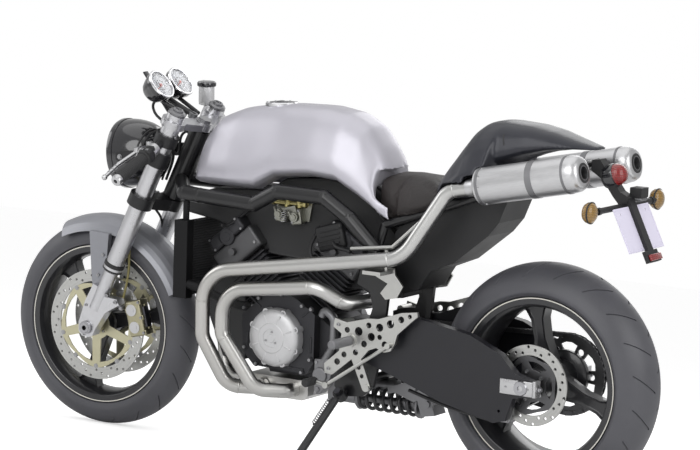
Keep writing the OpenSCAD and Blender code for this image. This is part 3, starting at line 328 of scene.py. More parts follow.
    made["hangerMetal"] = metal("hangerMetal", (0.56, 0.56, 0.54), 0.34)
    made["bolt"] = metal("boltSteel", (0.42, 0.42, 0.43), 0.34)
    made["boltDark"] = metal("boltDark", (0.09, 0.09, 0.10), 0.4)
    made["hoseOlive"] = paint("hoseOlive", (0.17, 0.15, 0.05), (0.24, 0.21, 0.08), 0.4, 0.00006, 2600)
    made["hoseBlack"] = paint("hoseBlack", (0.012, 0.012, 0.013), (0.020, 0.020, 0.021), 0.5, 0.00006, 2600)
    made["spring"] = paint("springBlack", (0.014, 0.014, 0.016), (0.03, 0.03, 0.033), 0.35, Coat_Weight=0.4)
    dial = made["dial"] = Finish("dialSilver", (0.55, 0.55, 0.56), Metallic=0.35, Roughness=0.42)
    dial.feed(Base_Color=dial.blend(dial.noise(300, 3), (0.46, 0.46, 0.48), (0.60, 0.60, 0.62)))
    made["ink"] = paint("dialInk", (0.01, 0.01, 0.01), (0.02, 0.02, 0.02), 0.5)
    made["needle"] = paint("needleRed", (0.50, 0.05, 0.03), (0.58, 0.07, 0.04), 0.4)
    glass = made["glass"] = Finish("clearGlass", (0.96, 0.97, 0.98), Roughness=0.03, Transmission_Weight=1.0, IOR=1.45)
    glass.feed(Roughness=glass.noise(30, 3) * 0.04 + 0.01)
    for name, colour in (("lensAmber", (0.34, 0.19, 0.035)), ("lensRed", (0.30, 0.008, 0.008))):
        lens = made[name] = Finish(name, colour, Roughness=0.2, Coat_Weight=0.6, Transmission_Weight=0.15)
        x, y, z = lens.parts(lens.turned(rigid(onBike)))
        ribs = (z * 1500).wave() * 0.5 + 0.5
        dark = tuple(c * 0.55 for c in colour)
        lens.feed(Base_Color=lens.blend(ribs, dark, colour))
        lens.raised(ribs, 0.0005)
    made["bulbSilver"] = metal("reflectorSilver", (0.86, 0.86, 0.87), 0.12)
    made["plate"] = paint("plateWhite", (0.66, 0.63, 0.76), (0.70, 0.67, 0.80), 0.32, 0.00003, 1500)
    return made


finishes = makeFinishes()
print("finishes made:", len(finishes))


# ---- making pieces ----
def asPiece(name, made, place, body, finish, smooth=35, bevel=0.0, levels=0, replaces=(), children=()):
    # puts a mesh or a bmesh, drawn in mm, where it belongs and lets it ride on a body
    if isinstance(made, bmesh.types.BMesh):
        mesh = bpy.data.meshes.new(name)
        bmesh.ops.recalc_face_normals(made, faces=made.faces)
        made.to_mesh(mesh)
        made.free()
    else:
        mesh = made
    mesh.transform(place)
    if place.determinant() < 0:
        mesh.flip_normals()
    mesh.shade_smooth()
    if smooth < 180:
        mesh.set_sharp_from_angle(angle=math.radians(smooth))
    mesh.materials.clear()
    mesh.materials.append(finishes[finish].material)
    piece = bpy.data.objects.new(name, mesh)
    bpy.context.scene.collection.objects.link(piece)
    if bevel:
        edge = piece.modifiers.new("edge", "BEVEL")
        edge.width, edge.segments, edge.limit_method, edge.angle_limit = bevel / 1000, 2, "ANGLE", math.radians(40)
        edge.harden_normals = False
    if levels:
        soft = piece.modifiers.new("soft", "SUBSURF")
        soft.levels = soft.render_levels = levels
    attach(piece, body)
    if replaces:
        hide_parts(*replaces)
    return piece


def stamp(bm, mesh, places):
    for place in places:
        before = len(bm.verts)
        bm.from_mesh(mesh)
        bm.verts.ensure_lookup_table()
        bmesh.ops.transform(bm, matrix=place, verts=bm.verts[before:])
    return bm


def boxAt(bm, size, place, round=0.0):
    made = bmesh.ops.create_cube(bm, size=1.0)["verts"]
    bmesh.ops.transform(bm, matrix=place @ Matrix.Diagonal((*size, 1)), verts=made)
    if round:
        edges = list({e for v in made for e in v.link_edges})
        bmesh.ops.bevel(bm, geom=edges, offset=round, affect="EDGES", segments=3, profile=0.5, material=-1)


def rodAt(bm, p, q, r, sides=20, thinner=None):
    p, q = vec(p), vec(q)
    place = towards((p + q) / 2, q - p)
    bmesh.ops.create_cone(bm, cap_ends=True, segments=sides, radius1=r, radius2=r if thinner is None else thinner,
                          depth=(q - p).length, matrix=place)


def ballAt(bm, p, r):
    bmesh.ops.create_icosphere(bm, subdivisions=3, radius=r, matrix=Matrix.Translation(vec(p)))


def revolve(bm, profile, place, steps=48, sweep=360.0):
    # profile rows are radius and height along the axis
    verts = [bm.verts.new((r, 0, h)) for r, h in profile]
    edges = [bm.edges.new(pair) for pair in zip(verts, verts[1:])]
    full = sweep >= 360
    before = set(bm.verts) - set(verts)
    bmesh.ops.spin(bm, geom=verts + edges, cent=(0, 0, 0), axis=(0, 0, 1), angle=math.radians(sweep), steps=steps,
                   use_merge=full, use_duplicate=False)
    made = [v for v in bm.verts if v not in before]
    bmesh.ops.remove_doubles(bm, verts=made, dist=0.002)
    made = [v for v in bm.verts if v not in before]
    bmesh.ops.transform(bm, matrix=place, verts=made)


def cutPlate(outline, holes, thick, bevel=0.0):
    # a flat plate with holes, drawn in X and Y; a hole is (x, y, radius) or a list of points
    curve = bpy.data.curves.new("plate", "CURVE")
    curve.dimensions, curve.fill_mode, curve.extrude = "2D", "BOTH", thick / 2 - bevel
    curve.bevel_depth, curve.bevel_resolution, curve.offset = bevel, 1, -bevel
    loops = [outline]
    for hole in holes:
        if isinstance(hole[0], (int, float)):
            x, y, r = hole
            sides = 10 if r < 5 else 20 if r < 30 else 90
            loops.append([(x + r * math.cos(math.tau * k / sides), y + r * math.sin(math.tau * k / sides))
                          for k in range(sides)])
        else:
            loops.append(hole)
    for loop in loops:
        spline = curve.splines.new("POLY")
        spline.points.add(len(loop) - 1)
        for point, (x, y) in zip(spline.points, loop):
            point.co = (x, y, 0, 1)
        spline.use_cyclic_u = True
    holder = bpy.data.objects.new("plate", curve)
    mesh = bpy.data.meshes.new_from_object(holder)
    bpy.data.objects.remove(holder)
    bpy.data.curves.remove(curve)
    return mesh


def ringOf(r, count=96, wobble=None):
    return [((r + (wobble(k) if wobble else 0)) * math.cos(math.tau * k / count),
             (r + (wobble(k) if wobble else 0)) * math.sin(math.tau * k / count)) for k in range(count)]


def tubeMesh(points, r, sides=3, steps=8, closed=False):
    # a smooth round tube through the given points
    curve = bpy.data.curves.new("tube", "CURVE")
    curve.dimensions, curve.bevel_depth, curve.bevel_resolution = "3D", r, sides
    curve.use_fill_caps, curve.resolution_u = True, steps
    spline = curve.splines.new("BEZIER")
    spline.bezier_points.add(len(points) - 1)
    for point, where in zip(spline.bezier_points, points):
        point.co = vec(where)
        point.handle_left_type = point.handle_right_type = "AUTO"
    spline.use_cyclic_u = closed
    holder = bpy.data.objects.new("tube", curve)
    mesh = bpy.data.meshes.new_from_object(holder)
    bpy.data.objects.remove(holder)
    bpy.data.curves.remove(curve)
    return mesh


def hose(name, points, r, place, body, finish="hoseBlack"):
    return asPiece(name, tubeMesh(points, r), place, body, finish, smooth=60)


def softCopy(name, node, voxel, passes, body, finish, place=None, sharp=180):
    # the CAD solid's shape with its facets and its hard edges eased
    mesh = frame["nodes"][node].data.copy()
    bm = bmesh.new()
    bm.from_mesh(mesh)
    bmesh.ops.remove_doubles(bm, verts=bm.verts, dist=0.00002)
    bm.to_mesh(mesh)
    bm.free()
    piece = bpy.data.objects.new(name, mesh)
    bpy.context.scene.collection.objects.link(piece)
    shrink = piece.modifiers.new("even", "REMESH")
    shrink.mode, shrink.voxel_size = "VOXEL", voxel / 1000
    bpy.context.view_layer.update()
    piece.data = bpy.data.meshes.new_from_object(piece.evaluated_get(bpy.context.evaluated_depsgraph_get()))
    piece.modifiers.clear()
    # the lower edge keeps its line, and only what faces up or out is eased
    eased = piece.vertex_groups.new(name="eased")
    for vert in piece.data.vertices:
        eased.add([vert.index], min(max((vert.normal.z + 0.42) * 4, 0.0), 1.0), "REPLACE")
    even = piece.modifiers.new("ease", "SMOOTH")
    even.factor, even.iterations, even.vertex_group = 0.5, passes, "eased"
    bpy.context.view_layer.update()
    ready = bpy.data.meshes.new_from_object(piece.evaluated_get(bpy.context.evaluated_depsgraph_get()))
    bpy.data.objects.remove(piece)
    return asPiece(name, ready, Matrix.Identity(4), body, finish, smooth=sharp, replaces=(node,))


def crispCopy(name, node, body, finish, bevel, smooth=30):
    # a flat-sided CAD solid with its edges broken
    mesh = frame["nodes"][node].data.copy()
    bm = bmesh.new()
    bm.from_mesh(mesh)
    bmesh.ops.remove_doubles(bm, verts=bm.verts, dist=0.00002)
    bmesh.ops.dissolve_limit(bm, angle_limit=0.02, verts=bm.verts, edges=bm.edges)
    bm.to_mesh(mesh)
    bm.free()
    return asPiece(name, mesh, Matrix.Identity(4), body, finish, smooth=smooth, bevel=bevel, replaces=(node,))


def makeFastenings():
    made = {}
    hexHead = bmesh.new()
    bmesh.ops.create_cone(hexHead, cap_ends=True, segments=20, radius1=1.25, radius2=1.2, depth=0.22,
                          matrix=Matrix.Translation((0, 0, 0.11)))
    bmesh.ops.create_cone(hexHead, cap_ends=True, segments=6, radius1=1.0, radius2=0.93, depth=0.7,
                          matrix=Matrix.Translation((0, 0, 0.55)))
    socketHead = bmesh.new()
    bmesh.ops.create_cone(socketHead, cap_ends=True, segments=18, radius1=1.0, radius2=0.9, depth=0.8,
                          matrix=Matrix.Translation((0, 0, 0.4)))
    top = [f for f in socketHead.faces if f.normal.z > 0.9]
    bmesh.ops.inset_region(socketHead, faces=top, thickness=0.42, depth=0)
    top = [f for f in socketHead.faces if f.normal.z > 0.9 and len(f.verts) == 18]
    bmesh.ops.inset_region(socketHead, faces=top, thickness=0.03, depth=-0.45)
    for name, bm in (("hex", hexHead), ("socket", socketHead)):
        mesh = made[name] = bpy.data.meshes.new(name)
        bm.to_mesh(mesh)
        bm.free()
    return made


fastening = makeFastenings()


def bolts(name, rows, place, body, kind="socket", finish="bolt"):
    # rows are point, direction and radius
    bm = bmesh.new()
    stamp(bm, fastening[kind], [towards(p, way) @ Matrix.Scale(r, 4) for p, way, r in rows])
    return asPiece(name, bm, place, body, finish)


def bothSides(rows):
    return rows + [(vec(p[0], -p[1], p[2]), vec(w[0], -w[1], w[2]), r) for p, w, r in rows]


# ---- carried-over solids: each takes the finish of the real part ----
carried = {
    "front_axle": "axleSteel", "left_fork_leg": "forkSilver", "right_fork_leg": "forkSilver",
    "lower_yoke": "blackMetal", "top_yoke": "yokeSilver", "front_mudguard": "guardGrey",
    "front_calipers": "caliper", "headlight_bracket": "blackMetal", "left_handlebar": "blackMetal",
    "right_handlebar": "blackMetal", "clutch_lever": "leverSilver", "brake_lever": "leverSilver",
    "main_frame": "frameBlack", "seat_subframe": "frameBlack", "rear_mudguard": "blackPlastic",
    "radiator": "radiatorCore", "crankcase": "engineDark", "cylinders": "engineDark",
    "throttle_bodies": "intakeMetal", "exhaust_collector": "pipeSteel", "exhaust_hangers": "hangerMetal",
    "rear_axle": "axleSteel", "rear_caliper": "caliperGrey", "left_footrest": "hangerMetal",
    "right_footrest": "hangerMetal", "tail_light_bracket": "blackPlastic", "side_stand": "blackMetal",
    "right_engine_cover": "castGrey", "left_engine_cover": "castSilver", "number_plate": "plate",
    "seat_subframe": "frameBlack",
}
for node, finish in carried.items():
    solid = frame["nodes"][node]
    solid.data.materials.clear()
    solid.data.materials.append(finishes[finish].material)
print("solids finished:", len(carried))

# ---- wheels ----
tyre = {"columns": 360, "pitch": 18, "wide": 1, "deep": 3.0, "from": 0.08, "to": 0.80, "swept": 0.26}
frontWheel = {"radius": 300, "width": 122, "rim": 106, "crown": 62, "hub": 34, "spokeDeep": 34, "spokeTurn": 48}
rearWheel = {"radius": 315, "width": 182, "rim": 154, "crown": 94, "hub": 44, "spokeDeep": 44, "spokeTurn": 78}


def makeTyre(name, node, size, place, body):
    radius, half, crown, rimHalf = size["radius"], size["width"] / 2, size["crown"], size["rim"] / 2
    side = math.asin(half / crown)
    shoulder = radius - crown + crown * math.cos(side)
    tread = [(radius - crown + crown * math.cos(side * k / 14), crown * math.sin(side * k / 14))
             for k in range(-14, 15)]
    wall = []
    for t in (0.12, 0.28, 0.44, 0.6, 0.74, 0.82, 0.88, 0.96):
        rib = 0.9 if 0.8 < t < 0.9 else 0
        wall.append((shoulder + (232 - shoulder) * t, half + (rimHalf + 2 - half) * t ** 1.8 + rib - 0.4))
    wall += [(231, rimHalf - 6.3), (214.4, rimHalf - 6.3)]
    profile = [(r, -h) for r, h in reversed(wall)] + tread + wall
    bm = bmesh.new()
    revolve(bm, profile, Matrix.Identity(4), tyre["columns"])
    bmesh.ops.recalc_face_normals(bm, faces=bm.faces)
    step = math.tau / tyre["columns"]
    grooves = []
    for face in bm.faces:
        c = face.calc_center_median()
        column = int(math.floor(math.atan2(c.y, c.x) / step)) % tyre["pitch"]
        out = abs(c.z) / half
        first = 0 if c.z > 0 else tyre["pitch"] // 2
        if math.hypot(c.x, c.y) > shoulder - 2 and tyre["from"] < out < tyre["to"] and column == first:
            grooves.append(face)
    bmesh.ops.inset_region(bm, faces=grooves, thickness=0.5, depth=-tyre["deep"], use_even_offset=True)
    for vert in bm.verts:
        lean = tyre["swept"] * min(abs(vert.co.z) / half, 1) ** 1.35
        vert.co = Matrix.Rotation(lean, 3, "Z") @ vert.co
    return asPiece(name, bm, place, body, "rubber", smooth=50, replaces=(node,))


def slab(bm, outline, low, high, place, lip=0.0, deep=0.0):
    # a thick flat piece, with a shallow recess in both faces
    verts = [bm.verts.new((x, y, low)) for x, y in outline]
    base = bm.faces.new(verts)
    grown = bmesh.ops.extrude_face_region(bm, geom=[base])["geom"]
    top = [v for v in grown if isinstance(v, bmesh.types.BMVert)]
    bmesh.ops.translate(bm, verts=top, vec=(0, 0, high - low))
    lid = [f for f in grown if isinstance(f, bmesh.types.BMFace)]
    bmesh.ops.reverse_faces(bm, faces=[base] if base.normal.z > 0 else [])
    if lip:
        for face in lid + [base]:
            face.normal_update()
        bmesh.ops.inset_individual(bm, faces=lid + [base], thickness=lip, depth=-deep)
    made = verts + top
    made += [v for f in lid + [base] for v in f.verts if v not in made]
    bmesh.ops.transform(bm, matrix=place, verts=made)


def makeRim(name, node, size, place, body, hubRows):
    h, reach, hubR = size["rim"] / 2, 206, size["hub"]
    bm = bmesh.new()
    revolve(bm, [(230, h), (230, h - 6), (214, h - 6), (214, 6 - h), (230, 6 - h), (230, -h), (210, -h),
                 (205, 10 - h), (202, 16 - h), (197, 0), (202, h - 16), (205, h - 10), (210, h), (230, h)],
            Matrix.Identity(4), 120)
    revolve(bm, hubRows, Matrix.Identity(4), 60)
    outline = [(hubR * 0.6, -hubR * 0.75), (hubR * 1.4, -hubR * 0.62), (reach * 0.55, -17), (reach * 0.8, -19),
               (reach * 0.92, -29), (reach, -46)]
    outline += [(x, -y) for x, y in reversed(outline)]
    deep = size["spokeDeep"] / 2
    for k in range(3):
        where = Matrix.Rotation(-math.radians(size["spokeTurn"] + 120 * k), 4, "Z")
        slab(bm, outline, -deep, deep, where, lip=7, deep=7)
    return asPiece(name, bm, place, body, "wheelBlack", smooth=35, bevel=1.6, replaces=(node,))


def makeStripes(name, size, place, body):
    bm = bmesh.new()
    for side in (1, -1):
        h = side * size["rim"] / 2
        revolve(bm, [(225.6, h - 0.3), (225.6, h + 0.35 * side), (228.4, h + 0.35 * side), (228.4, h - 0.3)],
                Matrix.Identity(4), 120)
    return asPiece(name, bm, place, body, "pinstripe")


frontPlace = onFork @ aboutAxle(frontAxle)
rearPlace = onBike @ aboutAxle(rearAxle)
makeTyre("frontTyre", "front_tyre", frontWheel, frontPlace, "front_wheel")
makeTyre("rearTyre", "rear_tyre", rearWheel, rearPlace, "rear_wheel")
frontHub = [(11.3, -59), (28, -59), (34, -56), (34, -44), (29, -38), (31, -19), (38, -16), (38, 16), (31, 19),
            (29, 38), (34, 44), (34, 56), (28, 59), (11.3, 59), (11.3, -59)]
rearHub = [(12.3, -101), (62, -101), (68, -97), (70, -90), (70, -78), (64, -74), (46, -70), (44, -24), (50, -21),
           (50, 21), (44, 24), (40, 60), (42, 84), (44, 96), (40, 102), (12.3, 102), (12.3, -101)]
makeRim("frontRim", "front_rim", frontWheel, frontPlace, "front_wheel", frontHub)
makeRim("rearRim", "rear_rim", rearWheel, rearPlace, "rear_wheel", rearHub)
makeStripes("frontPinstripes", frontWheel, frontPlace, "front_wheel")
makeStripes("rearPinstripes", rearWheel, rearPlace, "rear_wheel")
print("wheels made")

# ---- brake discs ----
discs = {"frontRadius": 160, "frontInner": 126, "rearRadius": 108, "rearInner": 80, "thick": 5, "drill": 3.6,
         "bobbins": 10, "frontOut": 62, "rearOut": 105}


def drilled(inner, outer, count, r):
    rows = []
    for k in range(count):
        a = math.tau * k / count
        reach = inner + (outer - inner) * (0.22, 0.5, 0.78)[k % 3]
        rows.append((reach * math.cos(a), reach * math.sin(a), r))
    return rows


def carrier(outer, bore, arms, wide):
    # a spider of arms between the hub and the braking ring
    outline = []
    for k in range(arms * 12):
        a, phase = math.tau * k / (arms * 12), math.cos(math.tau * k / 12)
        reach = outer - 9 * (1 - phase) / 2
        outline.append((reach * math.cos(a), reach * math.sin(a)))
    windows = []
    for k in range(arms):
        a = math.tau * (k + 0.5) / arms
        half = math.pi / arms - wide / outer
        inner, far = bore + 20, outer - 17
        window = [(inner + 4, a + t * half * 0.55) for t in (-1, 0, 1)] + [(far, a + t * half) for t in (1, 0.5, 0, -0.5, -1)]
        windows.append([(r * math.cos(t), r * math.sin(t)) for r, t in window])
    return outline, windows + [(0, 0, bore)]


def makeDiscs():
    d = discs
    rings, carriers, pins = bmesh.new(), bmesh.new(), bmesh.new()
    ring = cutPlate(ringOf(d["frontRadius"], 120), [(0, 0, d["frontInner"])] +
                    drilled(d["frontInner"], d["frontRadius"], 48, d["drill"]), d["thick"], 0.4)
    outline, holes = carrier(d["frontInner"] + 1, 19, 5, 15)
    spider = cutPlate(outline, holes, 4.2, 0.5)
    for side in (1, -1):
        at = Matrix.Translation((0, 0, side * d["frontOut"]))
        stamp(rings, ring, [at])
        stamp(carriers, spider, [at @ Matrix.Rotation(0.3, 4, "Z")])
        for k in range(d["bobbins"]):
            a = math.tau * k / d["bobbins"] + 0.3
            p = vec(math.cos(a) * 122, math.sin(a) * 122, side * d["frontOut"])
            rodAt(pins, p - vec(0, 0, 3.2), p + vec(0, 0, 3.2), 7, 16)
            rodAt(pins, p - vec(0, 0, 4), p + vec(0, 0, 4), 4, 16)
    asPiece("frontDiscRings", rings, frontPlace, "front_wheel", "frontDisc", replaces=("front_brake_discs",))
    asPiece("frontDiscCarriers", carriers, frontPlace, "front_wheel", "discCarrier")
    asPiece("frontDiscBobbins", pins, frontPlace, "front_wheel", "bolt")
    ring = cutPlate(ringOf(d["rearRadius"], 120, lambda k: 0), [(0, 0, d["rearInner"])] +
                    drilled(d["rearInner"] + 2, d["rearRadius"], 30, 4.2), d["thick"], 0.4)
    outline, holes = carrier(d["rearInner"] + 1, 20, 5, 12)
    spider = cutPlate(outline, holes, 4.4, 0.5)
    at = Matrix.Translation((0, 0, d["rearOut"]))
    rings, carriers = bmesh.new(), bmesh.new()
    stamp(rings, ring, [at])
    stamp(carriers, spider, [at])
    asPiece("rearDiscRing", rings, rearPlace, "rear_wheel", "rearDisc", replaces=("rear_brake_disc",))
    asPiece("rearDiscCarrier", carriers, rearPlace, "rear_wheel", "darkSteel")
    rows = [(vec(38 * math.cos(a), 38 * math.sin(a), d["rearOut"] + 2.4), vec(0, 0, 1), 5.5)
            for a in (math.tau * k / 5 for k in range(5))]
    bolts("rearDiscBolts", rows, rearPlace, "rear_wheel")
    rows = [(vec(29 * math.cos(a), 29 * math.sin(a), s * (d["frontOut"] + 2.2)), vec(0, 0, s), 4.5)
            for a in (math.tau * k / 5 for k in range(5)) for s in (1, -1)]
    bolts("frontDiscBolts", rows, frontPlace, "front_wheel")


makeDiscs()
print("brake discs made")

# ---- chain and sprocket ----
chain = {"rear": 105.5, "front": 41, "out": -105, "pitch": 15.875, "teeth": 42,
         "frontAt": vec(610, 0, 356), "sprocketThick": 7}


def chainPath():
    # length along the loop to a place and direction, in X and Z
    d = chain["frontAt"] - rearAxle
    reach, tilt = math.hypot(d.x, d.z), math.atan2(d.z, d.x)
    big, small = chain["rear"], chain["front"]
    flare = math.acos((big - small) / reach)
    run = reach * math.sin(flare)
    parts = [("arc", rearAxle, big, flare, math.tau - 2 * flare), ("line", -1, run), 
             ("arc", chain["frontAt"], small, -flare, 2 * flare), ("line", 1, run)]
    lengths = [big * (math.tau - 2 * flare), run, small * 2 * flare, run]

    def at(s):
        s %= sum(lengths)
        for part, length in zip(parts, lengths):
            if s <= length:
                break
            s -= length
        if part[0] == "arc":
            a = tilt + part[3] + s / part[2]
            p = part[1] + vec(math.cos(a), 0, math.sin(a)) * part[2]
            return p, a + math.pi / 2
        side = part[1]
        a = tilt + side * flare
        out = vec(math.cos(a), 0, math.sin(a))
        ends = (rearAxle + out * big, chain["frontAt"] + out * small)
        p, q = ends if side < 0 else ends[::-1]
        way = (q - p).normalized()
        return p + way * s, math.atan2(way.z, way.x)

    return at, sum(lengths)


def makeChain():
    capsule = [(math.cos(a) * 6.6 + (7.9 if math.cos(a) > 0 else -7.9), math.sin(a) * 6.6)
               for a in (math.tau * k / 12 + 0.13 for k in range(12))]
    plate = cutPlate(capsule, [], 1.6, 0)
    link = {}
    for name, gap in (("inner", 5.2), ("outer", 7.4)):
        bm = bmesh.new()
        stamp(bm, plate, [Matrix.Translation((0, 0, s * gap)) for s in (1, -1)])
        for x in (-7.9, 7.9):
            if name == "inner":
                rodAt(bm, (x, 0, -4.4), (x, 0, 4.4), 5.0, 10)
            else:
                rodAt(bm, (x, 0, -8.9), (x, 0, 8.9), 2.4, 8)
        link[name] = bpy.data.meshes.new(name)
        bm.to_mesh(link[name])
        bm.free()
    at, length = chainPath()
    count = 2 * round(length / chain["pitch"] / 2)
    bm = bmesh.new()
    for k in range(count):
        p, a = at((k + 0.5) * length / count)
        where = Matrix.Translation(p + vec(0, chain["out"], 0)) @ Matrix.Rotation(-a, 4, "Y") @ Matrix.Rotation(math.pi / 2, 4, "X")
        stamp(bm, link["inner" if k % 2 else "outer"], [where])
    asPiece("driveChain", bm, onBike, "chassis", "darkSteel", replaces=("drive_chain",))
    toothed = ringOf(0, chain["teeth"] * 4, lambda k: (98.5, 100.5, 104, 100.5)[k % 4])
    holes = [(72 * math.cos(a), 72 * math.sin(a), 9) for a in (math.tau * k / 6 for k in range(6))]
    windows = []
    for k in range(6):
        a = math.tau * (k + 0.5) / 6
        windows.append([(r * math.cos(a + t), r * math.sin(a + t)) for r, t in
                        ((58, -0.24), (58, 0.24), (84, 0.30), (88, 0.1), (88, -0.1), (84, -0.30))])
    blank = cutPlate(toothed, holes + windows + [(0, 0, 22)], chain["sprocketThick"], 0.5)
    bm = bmesh.new()
    stamp(bm, blank, [Matrix.Translation((0, 0, chain["out"]))])
    asPiece("rearSprocket", bm, rearPlace, "rear_wheel", "darkSteel", replaces=("rear_sprocket",))
    rows = [(vec(46 * math.cos(a), 46 * math.sin(a), chain["out"] - 3.4), vec(0, 0, -1), 6)
            for a in (math.tau * (k + 0.5) / 6 for k in range(6))]
    bolts("sprocketNuts", rows, rearPlace, "rear_wheel", "hex")


makeChain()
print("chain made")

# ---- bodywork ----
tank = {"voxel": 5, "ease": 50, "capAt": (872, 0, 983), "capRadius": 42}
cowl = {"voxel": 4, "ease": 16}
softCopy("fuelTank", "fuel_tank", tank["voxel"], tank["ease"], "chassis", "tankSilver")
softCopy("tailCowl", "tail_cowl", cowl["voxel"], cowl["ease"], "chassis", "cowlCharcoal")
print("bodywork made")

# ---- exhaust ----
bank = {"crank": vec(775, 0, 352), "front": 40, "rear": -32, "barrelFrom": 120, "barrel": 130, "head": 108,
        "half": 82, "reach": 80}
pipes = {"radius": 20, "out": 203, "inside": 194, "outerUp": 521, "collectorHalf": 92}


def alongBank(lean, up, out, y=0):
    a = math.radians(lean)
    return bank["crank"] + vec(up * math.sin(a) + out * math.cos(a), y, up * math.cos(a) - out * math.sin(a))


def bentLine(route, bends, steps=14):
    # each corner of the route becomes an arc of the given radius
    points = [vec(route[0])]
    for k in range(1, len(route) - 1):
        a = (vec(route[k - 1]) - vec(route[k])).normalized()
        b = (vec(route[k + 1]) - vec(route[k])).normalized()
        half = a.angle(b) / 2
        back = bends[k] / math.tan(half)
        middle = vec(route[k]) + (a + b).normalized() * bends[k] / math.sin(half)
        p, q = vec(route[k]) + a * back, vec(route[k]) + b * back
        points += [middle + (p - middle).normalized().slerp((q - middle).normalized(), t / steps) * bends[k]
                   for t in range(steps + 1)]
    return points + [vec(route[-1])]


def straightTube(points, r, sides=8):
    curve = bpy.data.curves.new("pipe", "CURVE")
    curve.dimensions, curve.bevel_depth, curve.bevel_resolution, curve.use_fill_caps = "3D", r, sides, True
    spline = curve.splines.new("POLY")
    spline.points.add(len(points) - 1)
    for point, where in zip(spline.points, points):
        point.co = (*where, 1)
    holder = bpy.data.objects.new("pipe", curve)
    mesh = bpy.data.meshes.new_from_object(holder)
    bpy.data.objects.remove(holder)
    bpy.data.curves.remove(curve)
    return mesh


def makePipes():
    g, out = pipes, pipes["out"]
    way = vec(-math.cos(math.radians(12)), 0, math.sin(math.radians(12)))
    start = vec(186, 150, 822)
    outer = [(846, g["collectorHalf"] + 0.3, 202), (846, 124, 202), (914, 170, 204), (980, out, 340),
             (984, out, g["outerUp"]), (352, out - 8, 622), start - way * 60, start - way * 0.3]
    line = bentLine(outer, [0, 18, 60, 60, 104, 92, 52, 0])
    welds = bmesh.new()
    for name, side in (("leftPipe", 1), ("rightPipe", -1)):
        points = [vec(q.x, q.y * side, q.z) for q in line]
        asPiece(name, straightTube(points, g["radius"]), onBike, "chassis", "pipeSteel", smooth=60,
                replaces=("left_exhaust_pipe" if side > 0 else "right_exhaust_pipe",))
        for k in (17, 47, 62, -3):
            at = towards(points[k], points[k + 1] - points[k])
            revolve(welds, [(19.6, -2.4), (20.9, -1.4), (21.2, 0), (20.9, 1.4), (19.6, 2.4)], at, 40)
        at = towards(vec(846, side * 104, 202), vec(0, side, 0))
        revolve(welds, [(20.2, -9), (23, -8.4), (23, 8.4), (20.2, 9)], at, 40)
    rearWay = vec(-math.cos(math.radians(32)), 0, -math.sin(math.radians(32)))
    frontWay = vec(math.cos(math.radians(40)), 0, -math.sin(math.radians(40)))
    portUp = bank["barrelFrom"] + bank["barrel"] + bank["head"] * 0.4
    rearPort = alongBank(bank["rear"], portUp, -bank["reach"])
    frontPort = alongBank(bank["front"], portUp, bank["reach"])
    inner = [(746, g["collectorHalf"] + 0.3, 204), (746, 126, 204), (820, g["inside"] - 20, 206),
             (922, g["inside"], 352), (924, g["inside"], 475), (616, g["inside"], 516), (546, 160, 474),
             (508, 70, 478), rearPort + rearWay * 46, rearPort + rearWay * 0.3]
    points = bentLine(inner, [0, 20, 56, 50, 84, 70, 44, 30, 26, 0])
    asPiece("rearHeader", straightTube(points, g["radius"]), onBike, "chassis", "pipeSteel", smooth=60,
            replaces=("rear_header_pipe",))
    for k in (32, 62, 77):
        revolve(welds, [(19.6, -2.4), (20.9, -1.4), (21.2, 0), (20.9, 1.4), (19.6, 2.4)],
                towards(points[k], points[k + 1] - points[k]), 40)
    front = [frontPort + frontWay * 0.3, frontPort + frontWay * 24, (1034, 20, 330), (990, 60, 204), (900.3, 60, 204)]
    points = bentLine(front, [0, 24, 90, 50, 0])
    asPiece("frontHeader", straightTube(points, g["radius"]), onBike, "chassis", "pipeSteel",
            smooth=60, replaces=("front_header_pipe",))
    for port, turn in ((rearPort, rearWay), (frontPort, frontWay)):
        revolve(welds, [(20.2, 2), (31, 2), (31, 9), (26, 11), (20.2, 11)], towards(port, turn), 40)
    asPiece("pipeWelds", welds, onBike, "chassis", "pipeSteel")


makePipes()
silencer = {"start": vec(186, 150, 822), "tilt": 12, "radius": 50, "long": 344, "neck": 40, "strapAt": 196}


def makeSilencers():
    s = silencer
    way = vec(-math.cos(math.radians(s["tilt"])), 0, math.sin(math.radians(s["tilt"])))
    shells, bands, outlets, rivets = bmesh.new(), bmesh.new(), bmesh.new(), []
    r, long = s["radius"], s["long"]
    for side in (1, -1):
        start = vec(s["start"].x, s["start"].y * side, s["start"].z)
        at = towards(start, way)
        revolve(shells, [(21, 0), (23, 2), (25, 22), (29, 31), (40, 38), (r - 1.5, 41), (r - 1, 44), (r - 1, long - 46),
                         (r - 1, long - 30), (r - 3, long - 14), (r - 8, long - 4), (r - 15, long), (26, long + 1),
                         (24, long - 1), (24, long - 20)], at, 72)
        for place, wide, out in ((46, 9, 0), (s["strapAt"], 19, 0), (long - 44, 8, 0)):
            revolve(bands, [(r - 1.4, place), (r + out, place + 0.6), (r + out, place + wide - 0.6), (r - 1.4, place + wide)],
                    at, 72)
        revolve(outlets, [(26, long - 1), (26.4, long + 2.2), (24, long + 2.8), (20.4, long + 1.6), (20, long - 20),
                          (19.6, long - 60), (1, long - 60)], at, 48)
        revolve(bands, [(20.2, long + 0.6), (19.8, long + 2.4), (17.4, long + 2.4), (17, long - 40), (19.8, long - 40)],
                at, 48)
        for k in range(10):
            a = math.tau * k / 10
            out = at.to_3x3() @ vec(math.cos(a), math.sin(a), 0)
            rivets.append((start + way * 58 + out * (r - 1.2), out, 2.2))
    asPiece("silencerShells", shells, onBike, "chassis", "silencerMetal", replaces=("silencers",))
    asPiece("silencerBands", bands, onBike, "chassis", "castGrey")
    asPiece("silencerOutlets", outlets, onBike, "chassis", "softRubber")
    bolts("silencerRivets", rivets, onBike, "chassis", "socket", "leverSilver")


